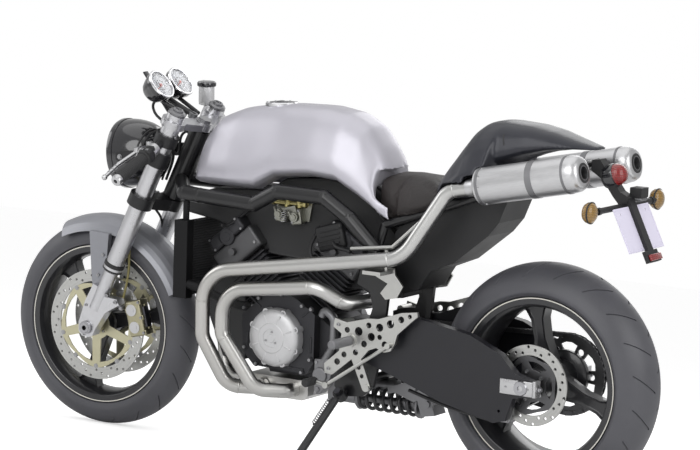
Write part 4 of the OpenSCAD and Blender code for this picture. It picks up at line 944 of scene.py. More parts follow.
makeSilencers()
print("exhaust made")

# ---- seat: a foam pad under leather, swelled by a short cloth simulation ----
pad = {"voxel": 6, "pressure": 4.0, "frames": 20, "most": 22, "inward": 5}


def makeSeat():
    node = frame["nodes"]["seat"]
    mesh = node.data.copy()
    bm = bmesh.new()
    bm.from_mesh(mesh)
    bmesh.ops.remove_doubles(bm, verts=bm.verts, dist=0.00002)
    bm.to_mesh(mesh)
    bm.free()
    cushion = bpy.data.objects.new("seatPad", mesh)
    bpy.context.scene.collection.objects.link(cushion)
    evenly = cushion.modifiers.new("even", "REMESH")
    evenly.mode, evenly.voxel_size = "VOXEL", pad["voxel"] / 1000
    ease = cushion.modifiers.new("ease", "SMOOTH")
    ease.factor, ease.iterations = 0.5, 6
    bpy.context.view_layer.update()
    ready = bpy.data.meshes.new_from_object(cushion.evaluated_get(bpy.context.evaluated_depsgraph_get()))
    cushion.modifiers.clear()
    cushion.data = ready
    for vert in ready.vertices:
        vert.co -= vert.normal * pad["inward"] / 1000
    start = [v.co.copy() for v in ready.vertices]
    cloth = cushion.modifiers.new("cloth", "CLOTH")
    cloth.settings.use_pressure, cloth.settings.uniform_pressure_force = True, pad["pressure"]
    cloth.settings.effector_weights.gravity = 0
    cloth.settings.quality = 5
    cloth.settings.tension_stiffness = cloth.settings.compression_stiffness = 40
    cloth.point_cache.frame_start, cloth.point_cache.frame_end = 1, pad["frames"]
    for k in range(1, pad["frames"] + 1):
        bpy.context.scene.frame_set(k)
    swelled = bpy.data.meshes.new_from_object(cushion.evaluated_get(bpy.context.evaluated_depsgraph_get()))
    cushion.modifiers.clear()
    cushion.data = swelled
    bpy.context.scene.frame_set(1)
    low, high = (vec(c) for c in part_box("seat"))
    for vert, before in zip(swelled.vertices, start):
        moved = vert.co - before
        if moved.length > pad["most"] / 1000:
            moved *= pad["most"] / 1000 / moved.length
        vert.co = before + moved
        for axis in range(3):
            vert.co[axis] = min(max(vert.co[axis], low[axis] - 0.002), high[axis] + 0.003)
    final = cushion.data
    bpy.data.objects.remove(cushion)
    piece = asPiece("seatPad", final, Matrix.Identity(4), "chassis", "seatLeather", smooth=180, levels=1,
                    replaces=("seat",))
    return piece


makeSeat()
print("seat made")

# ---- headlight ----
lamp = {"at": vec(1342, 0, 802), "radius": 100, "tilt": 6}


def makeLamp():
    tilt = math.radians(lamp["tilt"])
    way = vec(math.cos(tilt), 0, -math.sin(tilt))
    at = towards(lamp["at"], way)
    r = lamp["radius"]
    shell, rim, glass, bowl, bulb = (bmesh.new() for _ in range(5))
    revolve(shell, [(0, -86), (18, -85.4), (36, -81.5), (52, -73.5), (66, -63), (78, -48), (87, -30), (93, -10),
                    (96.5, 8), (98, 24), (98, 40), (95, 40), (94, 24), (90, 0), (80, -30), (50, -66), (0, -78)], at, 96)
    for side in (1, -1):
        rodAt(shell, lamp["at"] + vec(0, side * 90, 0), lamp["at"] + vec(0, side * (r + 6), 0), 11, 24)
    revolve(rim, [(95, 38), (r, 38), (r + 0.5, 42), (r + 0.5, 50), (r - 2, 56), (r - 6, 58), (r - 8, 56), (r - 8, 50),
                  (95, 46), (95, 38)], at, 96)
    revolve(glass, [(0, 74), (24, 72.5), (48, 68), (70, 61.5), (r - 9, 53), (r - 9, 50), (70, 58.5), (48, 65),
                    (24, 69.5), (0, 71)], at, 72)
    revolve(bowl, [(r - 8, 48), (80, 26), (60, 2), (36, -16), (14, -24), (14, -27), (36, -19), (60, -1), (80, 23),
                   (r - 6, 46)], at, 72)
    revolve(bulb, [(0, 14), (5, 12), (7, 6), (7, -10), (12, -14), (12, -26), (0, -26)], at, 24)
    revolve(bulb, [(0, 22), (11, 20), (13, 14), (13, 8), (11, 8), (11, 16), (0, 19)], at, 24)
    asPiece("headlightShell", shell, onFork, "front_end", "lampBlack", replaces=("headlight",))
    asPiece("headlightRim", rim, onFork, "front_end", "lampBlack")
    asPiece("headlightGlass", glass, onFork, "front_end", "glass")
    asPiece("headlightBowl", bowl, onFork, "front_end", "bulbSilver")
    asPiece("headlightBulb", bulb, onFork, "front_end", "chrome")
    rows = [(lamp["at"] + vec(0, side * 112, 0), vec(0, side, 0), 6.5) for side in (1, -1)]
    bolts("headlightBolts", rows, onFork, "front_end", "hex")


makeLamp()
print("headlight made")

# ---- clocks ----
clocks = {"at": vec(1250, 0, 1005), "half": 50, "radius": 46, "tilt": 52, "ticks": 24}


def makeClocks():
    tilt = math.radians(clocks["tilt"])
    up = vec(-math.sin(tilt), 0, math.cos(tilt))
    r = clocks["radius"]
    cups, bezels, faces, marks, needles, glass, arms = (bmesh.new() for _ in range(7))
    for side in (1, -1):
        at = towards(clocks["at"] + vec(0, side * clocks["half"], 0), up)
        revolve(cups, [(0, -46), (20, -46), (25, -44), (33, -36), (40, -20), (43, -10), (r - 1, -6), (r - 1, 6),
                       (r - 5, 6), (r - 5, 2), (0, 2)], at, 64)
        revolve(bezels, [(r - 2.5, 4), (r, 5), (r, 9), (r - 2, 11), (r - 5, 11), (r - 6.5, 8), (r - 6.5, 4)], at, 64)
        revolve(faces, [(0, 3.4), (r - 6, 3.4), (r - 6, 2.4), (0, 2.4)], at, 64)
        revolve(glass, [(0, 9.4), (20, 9.2), (r - 6, 8.2), (r - 6, 7.4), (20, 8.4), (0, 8.6)], at, 48)
        for k in range(clocks["ticks"] + 1):
            a = math.radians(-40 + 260 * k / clocks["ticks"])
            long = 7 if k % 4 == 0 else 4
            spot = at @ Matrix.Rotation(a, 4, "Z") @ Matrix.Translation((r - 8 - long / 2, 0, 3.6))
            boxAt(marks, (long, 1.5 if k % 4 == 0 else 0.8, 0.5), spot)
        revolve(marks, [(17, 3.4), (17, 3.8), (16, 3.8), (16, 3.4)], at, 40)
        spot = at @ Matrix.Rotation(math.radians(205), 4, "Z")
        boxAt(needles, (30, 1.6, 0.8), spot @ Matrix.Translation((12, 0, 5.2)))
        revolve(needles, [(0, 6.6), (4.5, 6.2), (5, 3.4)], at, 24)
        top = upFork(678)
        rodAt(arms, top + vec(6, side * 34, 8), clocks["at"] + vec(0, side * clocks["half"], 0) - up * 40, 6, 16)
    boxAt(arms, (22, 150, 5), towards(clocks["at"] - up * 47, up), 2)
    boxAt(arms, (34, 42, 26), towards(clocks["at"] - up * 34 + vec(4, 0, 0), up), 5)
    rodAt(arms, upFork(672) + vec(-4, 0, 11), clocks["at"] - up * 44, 8, 16)
    asPiece("clockCups", cups, onFork, "front_end", "lampBlack", replaces=("instruments",))
    asPiece("clockBezels", bezels, onFork, "front_end", "chrome")
    asPiece("clockFaces", faces, onFork, "front_end", "dial")
    asPiece("clockMarks", marks, onFork, "front_end", "ink")
    asPiece("clockNeedles", needles, onFork, "front_end", "needle")
    asPiece("clockGlass", glass, onFork, "front_end", "glass")
    asPiece("clockArms", arms, onFork, "front_end", "blackMetal")


makeClocks()
print("clocks made")

# ---- tail: lamps, plate and indicators ----
tail = {"lampAt": vec(-139, 0, 868), "lampTurn": 72, "indicatorHalf": 192, "stalk": (-199, 799),
        "plateAt": vec(-240, 0, 745), "plateTilt": 26}


def makeTail():
    turnBack = math.radians(tail["lampTurn"])
    way = vec(-math.sin(turnBack), 0, math.cos(turnBack))
    at = towards(tail["lampAt"], way)
    lens, ring, amber, cups, screws = (bmesh.new() for _ in range(5))
    revolve(lens, [(0, 62), (10, 60.6), (19, 56), (25, 48.5), (28, 40), (28.6, 31), (0, 29)], at, 56)
    revolve(ring, [(30, 6), (31, 8), (31, 30), (30, 33), (28.6, 33.4), (28.6, 24)], at, 56)
    for side in (1, -1):
        centre = vec(tail["stalk"][0], side * tail["indicatorHalf"], tail["stalk"][1])
        back = towards(centre, vec(-1, 0, 0))
        revolve(amber, [(0, 14), (10, 13.2), (19, 10), (25, 5), (27, 0), (0, -1)], back, 48)
        revolve(amber, [(28, -1), (26.6, -9), (22, -16), (14, -20), (0, -21)], back, 48)
        revolve(cups, [(26.8, -2), (28.6, -1.4), (28.8, 1.6), (27.4, 2.6), (26, 1.4)], back, 48)
        rodAt(cups, (tail["stalk"][0], side * 150.3, tail["stalk"][1]), centre, 7, 20)
        rodAt(cups, (tail["stalk"][0], side * 146, tail["stalk"][1]), (tail["stalk"][0], side * 160, tail["stalk"][1]), 10, 20)
    asPiece("tailLens", lens, onBike, "chassis", "lensRed")
    asPiece("tailRing", ring, onBike, "chassis", "lampBlack")
    asPiece("indicatorLenses", amber, onBike, "chassis", "lensAmber", replaces=("indicators",))
    asPiece("indicatorCups", cups, onBike, "chassis", "blackPlastic")
    tilt = Matrix.Translation(tail["plateAt"]) @ Matrix.Rotation(math.radians(tail["plateTilt"]), 4, "Y")
    edge = bmesh.new()
    stamp(edge, cutPlate([(-98, -59), (98, -59), (98, 59), (-98, 59)],
                         [[(-94.5, -55.5), (94.5, -55.5), (94.5, 55.5), (-94.5, 55.5)]], 0.9, 0.25),
          [tilt @ Matrix.Translation((-1.3, 0, 0)) @ Matrix.Rotation(math.pi / 2, 4, "Y") @ Matrix.Rotation(math.pi / 2, 4, "Z")])
    asPiece("plateEdge", edge, onBike, "chassis", "plate")
    reflector = bmesh.new()
    boxAt(reflector, (7, 62, 17), tilt @ Matrix.Translation((-17, 0, -85)), 2)
    asPiece("reflector", reflector, onBike, "chassis", "lensRed")
    light = bmesh.new()
    boxAt(light, (30, 36, 8), Matrix.Translation((-222, -32, 817)), 2)
    asPiece("plateLamp", light, onBike, "chassis", "castGrey")


makeTail()
print("tail made")

# ---- engine ----
cover = {"at": vec(780, 122.3, 352), "radius": 82, "lobes": 8}


def makeCovers():
    at = aboutAxle(cover["at"])
    r, n = cover["radius"], cover["lobes"]
    shell, rows = bmesh.new(), []
    revolve(shell, [(r - 3, 0), (r - 2, 1), (r - 2, 24), (r - 5, 30), (r - 12, 35), (r - 22, 38.5), (46, 39.6), (42, 39.8),
                    (40, 41.4), (28, 42), (25, 42), (24, 40.4), (12, 40.4), (11, 41.6), (0, 41.6)], at, 96)
    for k in range(n):
        a = math.tau * (k + 0.5) / n
        way = vec(math.cos(a), math.sin(a), 0)
        rodAt(shell, at @ (way * (r - 7)), at @ (way * (r - 7) + vec(0, 0, 27)), 9.5, 24)
        rows.append((at @ (way * (r - 7) + vec(0, 0, 27)), vec(0, 1, 0), 5))
        spoke = at @ Matrix.Rotation(a, 4, "Z") @ Matrix.Translation((r - 27, 0, 36.4))
        boxAt(shell, (26, 5, 7), spoke, 1.6)
    asPiece("generatorCover", shell, onBike, "chassis", "castSilver", replaces=("left_engine_cover",))
    for k in range(3):
        a = math.tau * k / 3 + 0.4
        rows.append((at @ vec(math.cos(a) * 18, math.sin(a) * 18, 40.4), vec(0, 1, 0), 3.2))
    bolts("generatorBolts", rows, onBike, "chassis")
    pump = bmesh.new()
    outline = [(660, 306), (602, 311), (598, 280), (617, 235), (640, 209), (660, 207)]
    flat = Matrix.Rotation(math.pi / 2, 4, "X")
    slab(pump, outline, -127, -93, flat)
    for p, q, radius in (((640, 120, 262), (640, 133, 262), 22), ((618, 120, 292), (618, 131, 292), 10),
                         ((648, 120, 222), (648, 131, 222), 8)):
        rodAt(pump, p, q, radius, 32)
    asPiece("pumpHousing", pump, onBike, "chassis", "castGrey", bevel=2.4)
    hook = bentLine([(634, 116, 300), (606, 118, 344), (604, 118, 422), (638, 116, 444), (647, 112, 424)],
                    [0, 26, 24, 12, 0])
    asPiece("pumpPipe", straightTube(hook, 12), onBike, "chassis", "castGrey", smooth=60)
    bolts("pumpBolts", [((x, 127, z), (0, 1, 0), 4.5) for x, z in ((652, 298), (608, 302), (606, 276), (624, 236),
                                                                  (652, 214))], onBike, "chassis")
    right = Matrix.Translation((745, -122.3, 352)) @ Matrix.Rotation(math.pi / 2, 4, "X")
    clutch, rows = bmesh.new(), []
    revolve(clutch, [(91, 0), (92, 1), (92, 27), (88, 32), (80, 40), (66, 43.4), (62, 43.4), (60, 41), (26, 41), (24, 43),
                     (14, 43.6), (0, 43.6)], right, 96)
    for k in range(9):
        a = math.tau * k / 9
        way = vec(math.cos(a), math.sin(a), 0)
        rodAt(clutch, right @ (way * 85), right @ (way * 85 + vec(0, 0, 30)), 8.5, 24)
        rows.append((right @ (way * 85 + vec(0, 0, 30)), vec(0, -1, 0), 4.6))
        spoke = right @ Matrix.Rotation(a, 4, "Z") @ Matrix.Translation((44, 0, 41))
        boxAt(clutch, (34, 4, 5), spoke, 1.4)
    asPiece("clutchCover", clutch, onBike, "chassis", "castGrey", replaces=("right_engine_cover",))
    bolts("clutchBolts", rows, onBike, "chassis")


makeCovers()


def makeBarrels():
    fins, heads, caps, rows = bmesh.new(), bmesh.new(), bmesh.new(), []
    for lean in (bank["front"], bank["rear"]):
        tilt = Matrix.Translation(bank["crank"]) @ Matrix.Rotation(math.radians(lean), 4, "Y")
        low = bank["barrelFrom"] + 0.6
        boxAt(fins, (122, 122, bank["barrel"] - 2), tilt @ Matrix.Translation((0, 0, low + bank["barrel"] / 2)), 10)
        for k in range(9):
            at = tilt @ Matrix.Translation((0, 0, low + 8 + k * 13.4))
            boxAt(fins, (143, 143, 4), at, 1.6)
        top = low + bank["barrel"]
        boxAt(heads, (159, 163, 66), tilt @ Matrix.Translation((0, 0, top + 32)), 8)
        for y in (-62, 62):
            for x in (-64, 64):
                rodAt(heads, tilt @ vec(x, y, top - 1), tilt @ vec(x, y, top + 66), 11, 20)
        boxAt(caps, (130, 174, 40), tilt @ Matrix.Translation((0, 0, top + 86)), 9)
        for k in range(4):
            boxAt(caps, (116, 5, 4), tilt @ Matrix.Translation((0, -54 + 36 * k, top + 106.5)), 1.6)
        for side in (1, -1):
            at = tilt @ Matrix.Translation((0, side * 86, top + 78)) @ Matrix.Rotation(-side * math.pi / 2, 4, "X")
            revolve(caps, [(0, 3.6), (12, 3.6), (13, 2.4), (22, 2.4), (24, 0.6), (24, -6)], at, 40)
            boxAt(caps, (56, 5, 26), tilt @ Matrix.Translation((0, side * 84.5, top + 86)), 2)
            for x in (-58, 58):
                for z in (70, 102):
                    rows.append((tilt @ vec(x * 0.93, side * 87, top + z), (0, side, 0), 3.6))
            for x in (-66, 66):
                rows.append((tilt @ vec(x, side * 81.6, top + 16), (0, side, 0), 4.4))
            plug = tilt @ vec(10, side * 80, top + 34)
            rodAt(heads, plug, plug + vec(0, side * 14, 0), 10, 20)
    asPiece("barrelFins", fins, onBike, "chassis", "engineDark", replaces=("cylinders",), bevel=0)
    asPiece("cylinderHeads", heads, onBike, "chassis", "headGrey")
    asPiece("headCovers", caps, onBike, "chassis", "engineDark")
    bolts("headBolts", rows, onBike, "chassis")


makeBarrels()


def makeIntake():
    bodies, springs, rail, screws = bmesh.new(), bmesh.new(), bmesh.new(), []
    for x, z, lean in ((770, 680, 10), (820, 684, -8)):
        for side in (1, -1):
            at = Matrix.Translation((x, side * 60, z)) @ Matrix.Rotation(math.radians(lean), 4, "Y")
            boxAt(bodies, (34, 26, 46), at, 5)
            rodAt(bodies, at @ vec(0, side * 10, 0), at @ vec(0, side * 24, 0), 13, 28)
            rodAt(bodies, at @ vec(0, side * 24, 0), at @ vec(0, side * 27, 0), 8, 20)
            boxAt(bodies, (6, 3, 30), at @ Matrix.Translation((8, side * 26, 6)) @ Matrix.Rotation(0.5, 4, "Y"), 1)
            rodAt(rail, at @ vec(-14, side * 6, 24), at @ vec(-14, side * 6, 48), 8, 20)
            screws.append((at @ vec(12, side * 13, -14), (0, side, 0), 3.4))
            screws.append((at @ vec(-12, side * 13, 16), (0, side, 0), 3.4))
    for side in (1, -1):
        rodAt(rail, (742, side * 66, 716), (846, side * 66, 716), 7, 20)
        for x in (742, 794, 846):
            rodAt(rail, (x - 4, side * 66, 716), (x + 4, side * 66, 716), 10, 6)
    asPiece("throttleBodies", bodies, onBike, "chassis", "intakeMetal")
    asPiece("fuelRails", rail, onBike, "chassis", "brass")
    bolts("throttleScrews", screws, onBike, "chassis")
    coil = [vec(796 + math.cos(t * 0.9) * 9, 92 + math.sin(t * 0.9) * 9, 666 + t * 0.9) for t in range(0, 36)]
    hose("throttleSpring", coil, 1.3, onBike, "chassis", "bolt")


makeIntake()


def makeCaseDetails():
    ribs, plates, rows = bmesh.new(), bmesh.new(), []
    for x, z, turn in ((690, 430, 40), (860, 440, -35), (884, 330, 90), (676, 340, 90), (720, 270, 0), (820, 268, 0)):
        for side in (1, -1):
            at = Matrix.Translation((x, side * 122.5, z)) @ Matrix.Rotation(math.radians(turn), 4, "Y")
            boxAt(ribs, (46, 5, 6), at, 2)
    for x, z in ((676, 300), (676, 440), (702, 262), (852, 268), (892, 310), (896, 420), (848, 452), (775, 470), (706, 446)):
        for side in (1, -1):
            rodAt(ribs, (x, side * 121, z), (x, side * 126, z), 8, 20)
            rows.append(((x, side * 126, z), (0, side, 0), 4.6))
    boxAt(ribs, (60, 150, 34), Matrix.Translation((600, 0, 392)), 8)
    asPiece("caseRibs", ribs, onBike, "chassis", "engineDark")
    bolts("caseBolts", rows, onBike, "chassis")
    chainGuard = bmesh.new()
    outline = [(560, 318), (566, 392), (606, 404), (640, 392), (652, 356), (636, 318), (600, 306)]
    slab(chainGuard, outline, 118, 123, Matrix.Rotation(math.pi / 2, 4, "X"))
    asPiece("sprocketCover", chainGuard, onBike, "chassis", "blackPlastic", bevel=2)
    asPiece("coolantLow", tubeMesh([(1018, 150, 462), (980, 132, 440), (940, 96, 420), (900, 60, 408)], 13),
            onBike, "chassis", "softRubber", smooth=60)
    asPiece("coolantHigh", tubeMesh([(1060, -150, 610), (1010, -140, 620), (960, -90, 640), (930, -40, 640)], 13),
            onBike, "chassis", "softRubber", smooth=60)
    clips = bmesh.new()
    for p, way in (((1010, 149, 460), (42, 18, 22)), ((910, 68, 411), (40, 36, 12)), ((1050, -148, 612), (50, -10, -10))):
        revolve(clips, [(13.2, -4), (14.6, -4), (14.6, 4), (13.2, 4)], towards(p, way), 32)
    asPiece("hoseClips", clips, onBike, "chassis", "bolt")
    for k, (a, b) in enumerate((((930, 40, 690), (980, 122, 640)), ((650, 30, 690), (560, 118, 610)),
                                ((700, 60, 660), (640, 110, 560)))):
        middle = (vec(a) + vec(b)) / 2 + vec(20, 26, -26)
        hose("loom%d" % k, [a, middle, b], 4.5 + k % 2, onBike, "chassis")
    airbox = bmesh.new()
    outline = [(1150, 655), (1150, 700), (1052, 733), (884, 741), (818, 780), (700, 792), (620, 786), (560, 752),
               (508, 704), (440, 640), (430, 490), (520, 478), (560, 500), (700, 488), (770, 560), (870, 565),
               (930, 610), (1050, 640)]
    slab(airbox, outline, -50, 50, Matrix.Rotation(math.pi / 2, 4, "X"), lip=9, deep=5)
    cooler = [(925, 262), (1000, 262), (1062, 400), (1075, 470), (1040, 520), (940, 520), (925, 400)]
    slab(airbox, cooler, -72, 72, Matrix.Rotation(math.pi / 2, 4, "X"), lip=9, deep=5)
    asPiece("airbox", airbox, onBike, "chassis", "blackPlastic", bevel=4)
    box = bmesh.new()
    boxAt(box, (90, 60, 70), Matrix.Translation((640, 70, 640)) @ Matrix.Rotation(0.3, 4, "Y"), 8)
    for k in range(4):
        boxAt(box, (70, 4, 4), Matrix.Translation((640, 101, 620 + k * 13)) @ Matrix.Rotation(0.3, 4, "Y"), 1)
    asPiece("airboxSide", box, onBike, "chassis", "blackPlastic")


makeCaseDetails()
print("engine made")

# ---- brake calipers ----
calipers = {"radius": 160, "out": 62, "angle": 14}


def makeCalipers():
    body, pistons, pads, rows = bmesh.new(), bmesh.new(), bmesh.new(), []
    turnUp = Matrix.Rotation(math.radians(calipers["angle"]), 4, "Y")
    for side in (1, -1):
        base = Matrix.Translation(frontAxle) @ turnUp @ Matrix.Translation((-142, side * calipers["out"], 0))
        for half in (1, -1):
            y = half * side * 13.5
            limit = 17 if half > 0 else 20
            boxAt(body, (52, limit, 104), base @ Matrix.Translation((-4, y + half * side * (limit - 17) / 2, 0)), 6)
            for z in (-25, 25):
                rodAt(pistons, base @ vec(0, y, z), base @ vec(0, y + half * side * (limit / 2 + 2.6), z), 17, 32)
                rodAt(pistons, base @ vec(0, y, z), base @ vec(0, y + half * side * (limit / 2 + 3.6), z), 9, 6)
        for z in (-44, 0, 44):
            boxAt(body, (13, 40, 15), base @ Matrix.Translation((-27, 0, z)), 3)
            rows.append((base @ vec(-27, side * 21, z), (0, side, 0), 4.6))
        boxAt(pads, (30, 24, 60), base @ Matrix.Translation((-22, 0, 0)), 2)
        rows.append((base @ vec(-30, 0, 14), (-1, 0, 0.2), 4))
    asPiece("frontCalipers", body, onFork, "front_end", "caliper", replaces=("front_calipers",))
    asPiece("frontCaliperCaps", pistons, onFork, "front_end", "leverSilver")
    asPiece("frontPadSprings", pads, onFork, "front_end", "boltDark")
    bolts("frontCaliperBolts", rows, onFork, "front_end")
    rear, caps, rows = bmesh.new(), bmesh.new(), []
    for y, thick in ((114.5, 17), (91, 19)):
        boxAt(rear, (72, thick, 46), Matrix.Translation((85, y, 231)), 6)
    boxAt(rear, (60, 30, 12), Matrix.Translation((85, 103, 213)), 4)
    rodAt(caps, (85, 122, 233), (85, 130.4, 233), 17, 32)
    rodAt(caps, (85, 100, 233), (85, 79, 233), 17, 32)
    rows = [((x, 123, z), (0, 1, 0), 4.4) for x, z in ((56, 244), (114, 244), (58, 216), (112, 216))]
    asPiece("rearCaliper", rear, onBike, "chassis", "caliperGrey", replaces=("rear_caliper",))
    asPiece("rearCaliperCaps", caps, onBike, "chassis", "leverSilver")
    bolts("rearCaliperBolts", rows, onBike, "chassis")
    asPiece("rearTorqueRod", tubeMesh([(118, 120, 212), (240, 112, 226), (372, 100, 252)], 5), onBike, "chassis",
            "blackMetal", smooth=60)


makeCalipers()
print("calipers made")

# ---- controls ----
bars = {"root": upFork(620, 105), "way": vec(14, 226, -92).normalized(), "long": 253, "grip": 122, "gripRadius": 16.5}


def makeControls():
    grips, ends, pods, buttons = (bmesh.new() for _ in range(4))
    rows = []
    for side in (1, -1):
        flip = mirrored(side)
        root, way = flip @ bars["root"], flip.to_3x3() @ bars["way"]
        end = root + way * 234
        at = towards(end - way * bars["grip"], way)
        r = bars["gripRadius"]
        profile = [(13, 0), (20.5, 0.5), (21.5, 2.5), (20.5, 5), (r + 0.4, 6.5)]
        for k in range(16):
            base = 10 + k * 6.6
            profile += [(r + 0.9, base), (r + 0.9, base + 4.2), (r + 0.1, base + 4.8), (r + 0.1, base + 6.0)]
        profile += [(r + 0.6, 118), (r + 0.2, 123), (13, 124)]
        revolve(grips, profile, at, 40)
        revolve(ends, [(12, 122), (15.5, 124), (16, 127), (16, 135), (14.5, 138.5), (11, 140), (6, 140), (5, 137), (0, 137)], at, 40)
        pod = towards(root + way * 98, way)
        boxAt(pods, (38, 40, 26), pod, 7)
        boxAt(pods, (27, 30, 12), pod @ Matrix.Translation((4, 6, -17)), 5)
        for k, (x, y) in enumerate(((-19, 6), (-19, -8), (-8, 20), (8, 20))):
            spot = pod @ Matrix.Translation((x, y, 3))
            boxAt(buttons, (8, 9, 7) if k < 2 else (9, 6, 9), spot, 2)
        rows.append((pod @ vec(0, -20, 8), pod.to_3x3() @ vec(0, -1, 0), 3))
        clamp = root + vec(30, -side * 4, 0)
        rows.append((clamp, (0.3, side, 0), 4.5))
        rows.append((root + vec(-34, side * 8, 6), (-1, 0, 0), 4.5))
    asPiece("grips", grips, onFork, "front_end", "softRubber")
    asPiece("barEnds", ends, onFork, "front_end", "leverSilver")
    asPiece("switchPods", pods, onFork, "front_end", "blackPlastic")
    asPiece("switchButtons", buttons, onFork, "front_end", "castGrey")
    bolts("barBolts", rows, onFork, "front_end")
    perch = bars["root"] + bars["way"] * 72
    blades, bands = bmesh.new(), bmesh.new()
    for side in (1, -1):
        flip = mirrored(side)
        pivot = flip @ (perch + vec(44, 6, -4))
        tip = flip @ (bars["root"] + bars["way"] * 234 + vec(52, -6, -2))
        middle = pivot.lerp(tip, 0.5) + vec(8, 0, 0)
        rodAt(bands, pivot - vec(0, 0, 12.5), pivot + vec(0, 0, 12.5), 6, 20)
        rodAt(bands, pivot - vec(0, 0, 15), pivot - vec(0, 0, 12), 8, 6)
        for k in range(3):
            spot = middle.lerp(tip, 0.2 + 0.22 * k)
            rodAt(bands, spot - vec(0, 0.01, 0), spot + (tip - middle).normalized() * 3, 6.7, 20)
        rodAt(blades, flip @ (perch + vec(20, -32, 4)), flip @ (perch + vec(44, -8, 2)), 8, 20)
    bosses = bmesh.new()
    for side in (1, -1):
        seat = mirrored(side) @ (perch + vec(24, -23, 6))
        revolve(bosses, [(9.2, -11), (9.4, 14), (8.6, 15.6), (5.4, 15.8), (5, 15), (5, 1), (0, 1)],
                Matrix.Translation(seat), 32)
    asPiece("mirrorBosses", bosses, onFork, "front_end", "leverSilver")
    asPiece("leverPins", bands, onFork, "front_end", "bolt")
    asPiece("leverAdjusters", blades, onFork, "front_end", "boltDark")
    pot = mirrored(-1) @ (perch + vec(42, 6, 96))
    cup, cap = bmesh.new(), bmesh.new()
    revolve(cup, [(0, -2), (17, -2), (21, 3), (22.8, 8), (22.8, 46), (22, 52), (0, 52)], Matrix.Translation(pot), 48)
    revolve(cap, [(22.5, 51), (26, 52), (26.6, 55), (26.6, 63), (24.5, 66.2), (20, 67.2), (0, 67.2)],
            Matrix.Translation(pot), 48)
    for k in range(24):
        a = math.tau * k / 24
        boxAt(cap, (1.6, 2.6, 9), Matrix.Translation(pot + vec(26.6 * math.cos(a), 26.6 * math.sin(a), 58.6)) @
              Matrix.Rotation(a, 4, "Z"))
    asPiece("reservoirCup", cup, onFork, "front_end", "castSilver")
    asPiece("reservoirCap", cap, onFork, "front_end", "lampBlack")
    rows = [(pot + vec(11 * s, 0, 67), (0, 0, 1), 2.6) for s in (1, -1)]
    bolts("reservoirScrews", rows, onFork, "front_end")


makeControls()


def makeForkDetails():
    seals, caps, rows = bmesh.new(), bmesh.new(), []
    for side in (1, -1):
        at = towards(upFork(0, side * 105), forkUp)
        revolve(seals, [(21.4, 190), (27, 189), (29.6, 192), (29.6, 196), (27.5, 199), (27.5, 203), (29.8, 205),
                        (29.8, 214), (26.5, 216)], at, 48)
        revolve(caps, [(20, 700), (25, 701), (25, 706), (21, 710), (15, 711), (14, 716), (9, 717), (8, 713), (0, 713)],
                at, 48)
        rodAt(caps, at @ vec(0, 0, 706), at @ vec(0, 0, 713), 17, 6)
        for up in (664, 680):
            rows.append((at @ vec(-31, side * 10, up), (0.2, side, 0), 4.4))
        for up in (412, 432):
            rows.append((at @ vec(-30, side * 12, up), (0.2, side, 0), 4.8))
        for x, z in ((-100, 84), (-72, 100)):
            rows.append((frontAxle + vec(x, side * 119.4, z), (0, side, 0), 6))
        rows.append((frontAxle + vec(6, side * 119.4, -20), (0, side, 0), 4))
        rows.append((frontAxle + vec(0, side * 119.4, 66), (0, side, 0), 4.4))
    asPiece("forkSeals", seals, onFork, "front_end", "softRubber")
    asPiece("forkCaps", caps, onFork, "front_end", "castGrey")
    bolts("forkBolts", rows, onFork, "front_end")
    nuts = bmesh.new()
    for side in (1, -1):
        at = Matrix.Translation(frontAxle) @ Matrix.Rotation(-side * math.pi / 2, 4, "X")
        revolve(nuts, [(7.1, 120), (19, 120), (19, 127.5), (15, 128.2), (14, 130), (7.1, 130)], at, 40)
    asPiece("frontAxleCollars", nuts, onFork, "front_end", "axleSteel")
    stem = upFork(682) + vec(-35 * math.cos(rake), 0, -35 * math.sin(rake))
    nut = bmesh.new()
    rodAt(nut, stem, stem + forkUp * 12, 20, 6)
    revolve(nut, [(23, 0), (23, 3), (15, 4), (15, 0)], towards(stem, forkUp), 40)
    asPiece("stemNut", nut, onFork, "front_end", "bolt")
    lock = bmesh.new()
    rodAt(lock, upFork(676) + vec(6, 0, 0), upFork(692) + vec(6, 0, 0), 13, 28)
    asPiece("keyBarrel", lock, onFork, "front_end", "castGrey")


makeForkDetails()


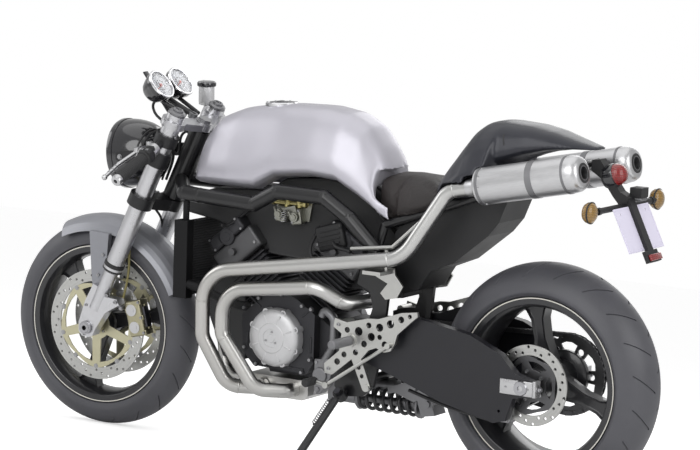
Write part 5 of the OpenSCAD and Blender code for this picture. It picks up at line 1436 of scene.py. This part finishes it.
def makeHoses():
    perch = bars["root"] + bars["way"] * 72
    right = mirrored(-1)
    hose("masterHose", [right @ (perch + vec(42, -34, 6)), right @ (perch + vec(70, -62, 20)),
                        right @ (perch + vec(74, -96, -40)), upFork(560, -30) + vec(46, 0, 0),
                        upFork(470, 0) + vec(40, 0, 0), upFork(424, 0) + vec(26, 0, 0)], 4, onFork, "front_end")
    for side, finish in ((1, "hoseOlive"), (-1, "hoseBlack")):
        points = [upFork(424, 0) + vec(30, side * 8, 0), upFork(380, side * 40) + vec(34, 0, 0),
                  upFork(330, side * 76) + vec(10, 0, 0), upFork(260, side * 84) + vec(-16, 0, 0),
                  upFork(180, side * 82) + vec(-44, 0, 0), frontAxle + vec(-96, side * 82, 66)]
        hose("brakeHose" + ("Left" if side > 0 else "Right"), points, 3.6, onFork, "front_end", finish)
    union, banjos = bmesh.new(), bmesh.new()
    boxAt(union, (22, 30, 18), Matrix.Translation(upFork(424) + vec(26, 0, 0)), 4)
    for side in (1, -1):
        rodAt(banjos, frontAxle + vec(-98, side * 74, 62), frontAxle + vec(-98, side * 88, 62), 7, 20)
        rodAt(banjos, frontAxle + vec(-98, side * 87, 62), frontAxle + vec(-98, side * 92, 62), 6, 6)
    asPiece("hoseUnion", union, onFork, "front_end", "castGrey")
    asPiece("banjoBolts", banjos, onFork, "front_end", "bolt")
    # wires and cables that stay with the front end as far as the steering head
    for k, (y, out, r) in enumerate(((30, 26, 3.5), (16, 34, 3.0), (-20, 30, 3.0), (-34, 22, 4.0))):
        top = bars["root"] + bars["way"] * 96 if y > 0 else right @ (bars["root"] + bars["way"] * 96)
        points = [top + vec(8, 0, -10), top + vec(48, -y * 1.4, 10), upFork(600, y) + vec(out + 34, 0, 20),
                  upFork(540, y * 0.8) + vec(out + 6, 0, 0), upFork(470, y * 0.6) + vec(out - 4, 0, 0)]
        hose("cable%d" % k, points, r, onFork, "front_end")
    hose("lampWires", [lamp["at"] + vec(-80, 14, 8), lamp["at"] + vec(-100, 26, 40), upFork(560, 24) + vec(26, 0, 0),
                       upFork(500, 14) + vec(24, 0, 0)], 5, onFork, "front_end")
    hose("clockWires", [clocks["at"] + vec(18, 30, -34), clocks["at"] + vec(44, 16, -70), upFork(610, 10) + vec(34, 0, 10),
                        upFork(520, 6) + vec(24, 0, 0)], 4, onFork, "front_end")


makeHoses()
print("front end made")

# ---- tank cap, cowl slots and mudguard screws ----
def makeTrim():
    cap, ring, slots, rows = bmesh.new(), bmesh.new(), bmesh.new(), []
    at = towards(vec(872, 0, 979), vec(0.04, 0, 1))
    revolve(ring, [(46, -4), (46, 3), (43, 5.5), (38, 5.5), (37, 3), (37, -4)], at, 64)
    revolve(cap, [(36.4, -2), (36.4, 4), (34, 6.2), (20, 7.2), (0, 7.4)], at, 64)
    boxAt(cap, (26, 12, 4), at @ Matrix.Translation((8, 0, 8)), 1.8)
    for k in range(6):
        a = math.tau * k / 6
        rows.append((at @ vec(41 * math.cos(a), 41 * math.sin(a), 5.2), (0.04, 0, 1), 2.6))
    asPiece("capRing", ring, onBike, "chassis", "chrome")
    asPiece("fuelCap", cap, onBike, "chassis", "castGrey")
    bolts("capScrews", rows, onBike, "chassis")
    for side in (1, -1):
        for x in (139, 115):
            slot = [vec(x + 4, side * 88, 964), vec(x + 1, side * 94, 950), vec(x - 3, side * 98, 938)]
            stamp(slots, tubeMesh(slot, 2.6), [Matrix.Identity(4)])
    asPiece("cowlSlots", slots, onBike, "chassis", "softRubber")
    rows = [(frontAxle + vec(x, side * 85.6, z), (0, side, 0), 5) for side in (1, -1) for x, z in ((-34, 210), (-18, 150))]
    bolts("mudguardBolts", rows, onFork, "front_end")


makeTrim()


# ---- swingarm, shock, footrests, stand ----
def makeRearEnd():
    arm = crispCopy("swingarm", "swingarm", "chassis", "armBlack", 3.2)
    blocks, nuts, rows, spools = bmesh.new(), bmesh.new(), [], bmesh.new()
    for side in (1, -1):
        out = 158 * side
        boxAt(blocks, (96, 5, 40), Matrix.Translation((14, out + side * 1.6, 315)), 2)
        rodAt(blocks, (-36, side * 146, 315), (-44, side * 146, 315), 9, 20)
        boxAt(blocks, (10, 30, 44), Matrix.Translation((-37, side * 144, 315)), 2)
        rodAt(nuts, (-40, side * 144, 315), (-54, side * 144, 315), 5, 16)
        rodAt(nuts, (-46, side * 144, 315), (-51, side * 144, 315), 8.5, 6)
        at = Matrix.Translation(rearAxle) @ Matrix.Rotation(-side * math.pi / 2, 4, "X")
        revolve(nuts, [(7.6, 158.4), (21, 158.4), (21, 161), (18, 166.2), (7.6, 166.2)], at, 40)
        for x in (-22, 44):
            rows.append(((x, out + side * 3.6, 315), (0, side, 0), 3))
        for k in range(5):
            boxAt(blocks, (1.2, 1.4, 9), Matrix.Translation((-18 + k * 6 + 44, out + side * 4.2, 331)))
        pivotAt = Matrix.Translation((500, 0, 372)) @ Matrix.Rotation(-side * math.pi / 2, 4, "X")
        revolve(nuts, [(0, 166), (12, 166), (13, 165), (13, 158.5), (24, 158.5), (24, 157), (0, 157)], pivotAt, 40)
    asPiece("axleBlocks", blocks, onBike, "chassis", "leverSilver")
    asPiece("axleNuts", nuts, onBike, "chassis", "axleSteel")
    bolts("axleBlockScrews", rows, onBike, "chassis")
    coil = []
    for t in range(0, 181):
        a = math.tau * 7.5 * t / 180
        coil.append(vec(392 + 196 * t / 180, math.cos(a) * 28, 192 + math.sin(a) * 28))
    asPiece("shockSpring", tubeMesh(coil, 5.6, 2, 3), onBike, "chassis", "spring", smooth=60)
    bodyParts = bmesh.new()
    revolve(bodyParts, [(0, -6), (14, -6), (14, 4), (24, 8), (35, 10), (35, 16), (20, 18), (20, 70), (11, 74), (11, 196),
                        (33, 200), (35, 206), (30, 212), (22, 216), (22, 262), (14, 268), (0, 268)],
            towards(vec(376, 0, 192), vec(1, 0, 0)), 40)
    flat = Matrix.Rotation(math.pi / 2, 4, "X")
    slab(bodyParts, [(330, 176), (372, 168), (384, 200), (452, 222), (440, 238), (350, 224)], -30, 30, flat)
    for side in (1, -1):
        slab(bodyParts, [(470, 222), (474, 238), (410, 262), (404, 313), (380, 309.6), (380, 252), (330, 222),
                         (332, 196), (356, 196), (400, 238)], -44 if side > 0 else 36, -36 if side > 0 else 44, flat)
    for x, z in ((390, 246), (346, 208)):
        rodAt(bodyParts, (x, -44, z), (x, 44, z), 8, 24)
        for side in (1, -1):
            rodAt(bodyParts, (x, side * 44, z), (x, side * 50, z), 10, 6)
    slab(bodyParts, [(648, 172), (676, 172), (676, 208), (662, 236), (650, 263.6), (632, 265.4), (640, 230), (648, 212)],
         -26, 26, flat)
    asPiece("shockBody", bodyParts, onBike, "chassis", "castGrey", replaces=("rear_shock",))
    bottle = bmesh.new()
    revolve(bottle, [(0, 0), (16, 0), (19, 3), (19, 80), (16, 84), (0, 84)], towards(vec(560, -20, 226), vec(-1, 0, 0.1)), 40)
    asPiece("shockBottle", bottle, onBike, "chassis", "castGrey")


makeRearEnd()


def makeRests():
    pegs, rows, tips = bmesh.new(), [], bmesh.new()
    for side in (1, -1):
        at = Matrix.Translation((506, 0, 384)) @ Matrix.Rotation(-side * math.pi / 2, 4, "X")
        profile = [(12, 200)]
        for k in range(14):
            profile += [(13.2, 201 + k * 6), (13.2, 204 + k * 6), (12.2, 205 + k * 6), (12.2, 206.4 + k * 6)]
        profile += [(12.6, 286), (10, 288.5), (6, 289), (0, 289)]
        revolve(pegs, profile, at, 32)
        for x, z in ((572, 300), (544, 424), (381, 386), (450, 262)):
            rows.append(((x, side * 193, z), (0, side, 0), 5.4))
        revolve(tips, [(9.2, 199), (11, 200), (11, 246), (9, 249.4), (0, 249.4)],
                Matrix.Translation((612, 0, 262)) @ Matrix.Rotation(-side * math.pi / 2, 4, "X"), 28)
        for k in range(5):
            a = vec(0, side * (206 + k * 9), 0)
            revolve(tips, [(11, -1.5), (12, -1), (12, 1), (11, 1.5)],
                    Matrix.Translation((612, 0, 262)) @ Matrix.Translation(a) @ Matrix.Rotation(-math.pi / 2, 4, "X"), 28)
    asPiece("footPegs", pegs, onBike, "chassis", "castGrey")
    asPiece("pedalRubbers", tips, onBike, "chassis", "softRubber")
    bolts("hangerBolts", rows, onBike, "chassis")


def makeStandSpring():
    # along the front of the leg
    leg = vec(0.208, 0.629, -0.749)
    top = vec(560, 152, 226) + leg * 26 + vec(16, 0, 3)
    across = leg.orthogonal().normalized()
    beside = leg.cross(across)
    coil = [top + leg * t * 0.8 + across * math.cos(t * 0.76) * 5 + beside * math.sin(t * 0.76) * 5 for t in range(0, 100)]
    asPiece("standSpring", tubeMesh(coil, 1.5, 1, 2), onStand, "stand", "bolt", smooth=60)
    pins, foot = bmesh.new(), bmesh.new()
    for p in (coil[0], coil[-1]):
        rodAt(pins, p - vec(14, 0, 3), p + vec(5, 0, 0), 3.4, 16)
    axis = vec(0, math.sin(math.radians(50)), math.cos(math.radians(50)))
    rodAt(pins, vec(560, 152, 226) + axis * 12, vec(560, 152, 226) + axis * 17, 10, 6)
    asPiece("standPins", pins, onStand, "stand", "boltDark")


makeRests()
makeStandSpring()
print("rear end made")

# ---- floor and light ----
def makeStage():
    floor = bmesh.new()
    for x, y, z in ((-30, 12, 0), (30, 12, 0), (30, -40, 0), (-30, -40, 0)):
        floor.verts.new((x, y, z))
    floor.faces.new(floor.verts)
    mesh = bpy.data.meshes.new("floor")
    floor.to_mesh(mesh)
    floor.free()
    ground = bpy.data.objects.new("floor", mesh)
    bpy.context.scene.collection.objects.link(ground)
    look = bpy.data.materials.new("floorWhite")
    look.use_nodes = True
    nodes, links = look.node_tree.nodes, look.node_tree.links
    shader = nodes["Principled BSDF"]
    shader.inputs["Base Color"].default_value = (0.86, 0.86, 0.86, 1)
    shader.inputs["Roughness"].default_value = 0.85
    shader.inputs["Emission Color"].default_value = (1, 1, 1, 1)
    path = nodes.new("ShaderNodeLightPath")
    seen = nodes.new("ShaderNodeMath")
    seen.operation = "MULTIPLY"
    links.new(path.outputs["Is Camera Ray"], seen.inputs[0])
    seen.inputs[1].default_value = 0.5
    links.new(seen.outputs[0], shader.inputs["Emission Strength"])
    mesh.materials.append(look)
    world = bpy.data.worlds.new("studio")
    bpy.context.scene.world = world
    world.use_nodes = True
    nodes, links = world.node_tree.nodes, world.node_tree.links
    back, path = nodes["Background"], nodes.new("ShaderNodeLightPath")
    seen = nodes.new("ShaderNodeMath")
    seen.operation = "MAXIMUM"
    links.new(path.outputs["Is Camera Ray"], seen.inputs[0])
    links.new(path.outputs["Is Transmission Ray"], seen.inputs[1])
    strength = nodes.new("ShaderNodeMath")
    strength.operation = "MULTIPLY_ADD"
    links.new(seen.outputs[0], strength.inputs[0])
    strength.inputs[1].default_value, strength.inputs[2].default_value = 0.45, 0.55
    links.new(strength.outputs[0], back.inputs["Strength"])
    back.inputs["Color"].default_value = (1, 1, 1, 1)
    return ground


lights = {"overhead": ((0.2, 0.2, 3.8), (0, 0, 0.5), 4.6, 36), "left": ((-0.4, 4.4, 2.4), (0, 0, 0.5), 3.6, 88),
          "rear": ((-4.2, 0.9, 2.2), (0, 0, 0.5), 3.0, 64), "front": ((4.0, 1.4, 2.2), (0, 0, 0.5), 2.6, 30),
          "right": ((0.3, -3.8, 2.8), (0, 0, 0.5), 3.0, 34)}
makeStage()
for name, (place, target, size, power) in lights.items():
    light = bpy.data.objects.new(name + "Light", bpy.data.lights.new(name + "Light", "AREA"))
    light.data.shape, light.data.size, light.data.energy = "DISK", size, power
    light.matrix_world = Matrix.Translation(vec(place)) @ (vec(target) - vec(place)).to_track_quat("-Z", "Y").to_matrix().to_4x4()
    bpy.context.scene.collection.objects.link(light)
bpy.context.scene.view_settings.view_transform = "Standard"
print("stage made")
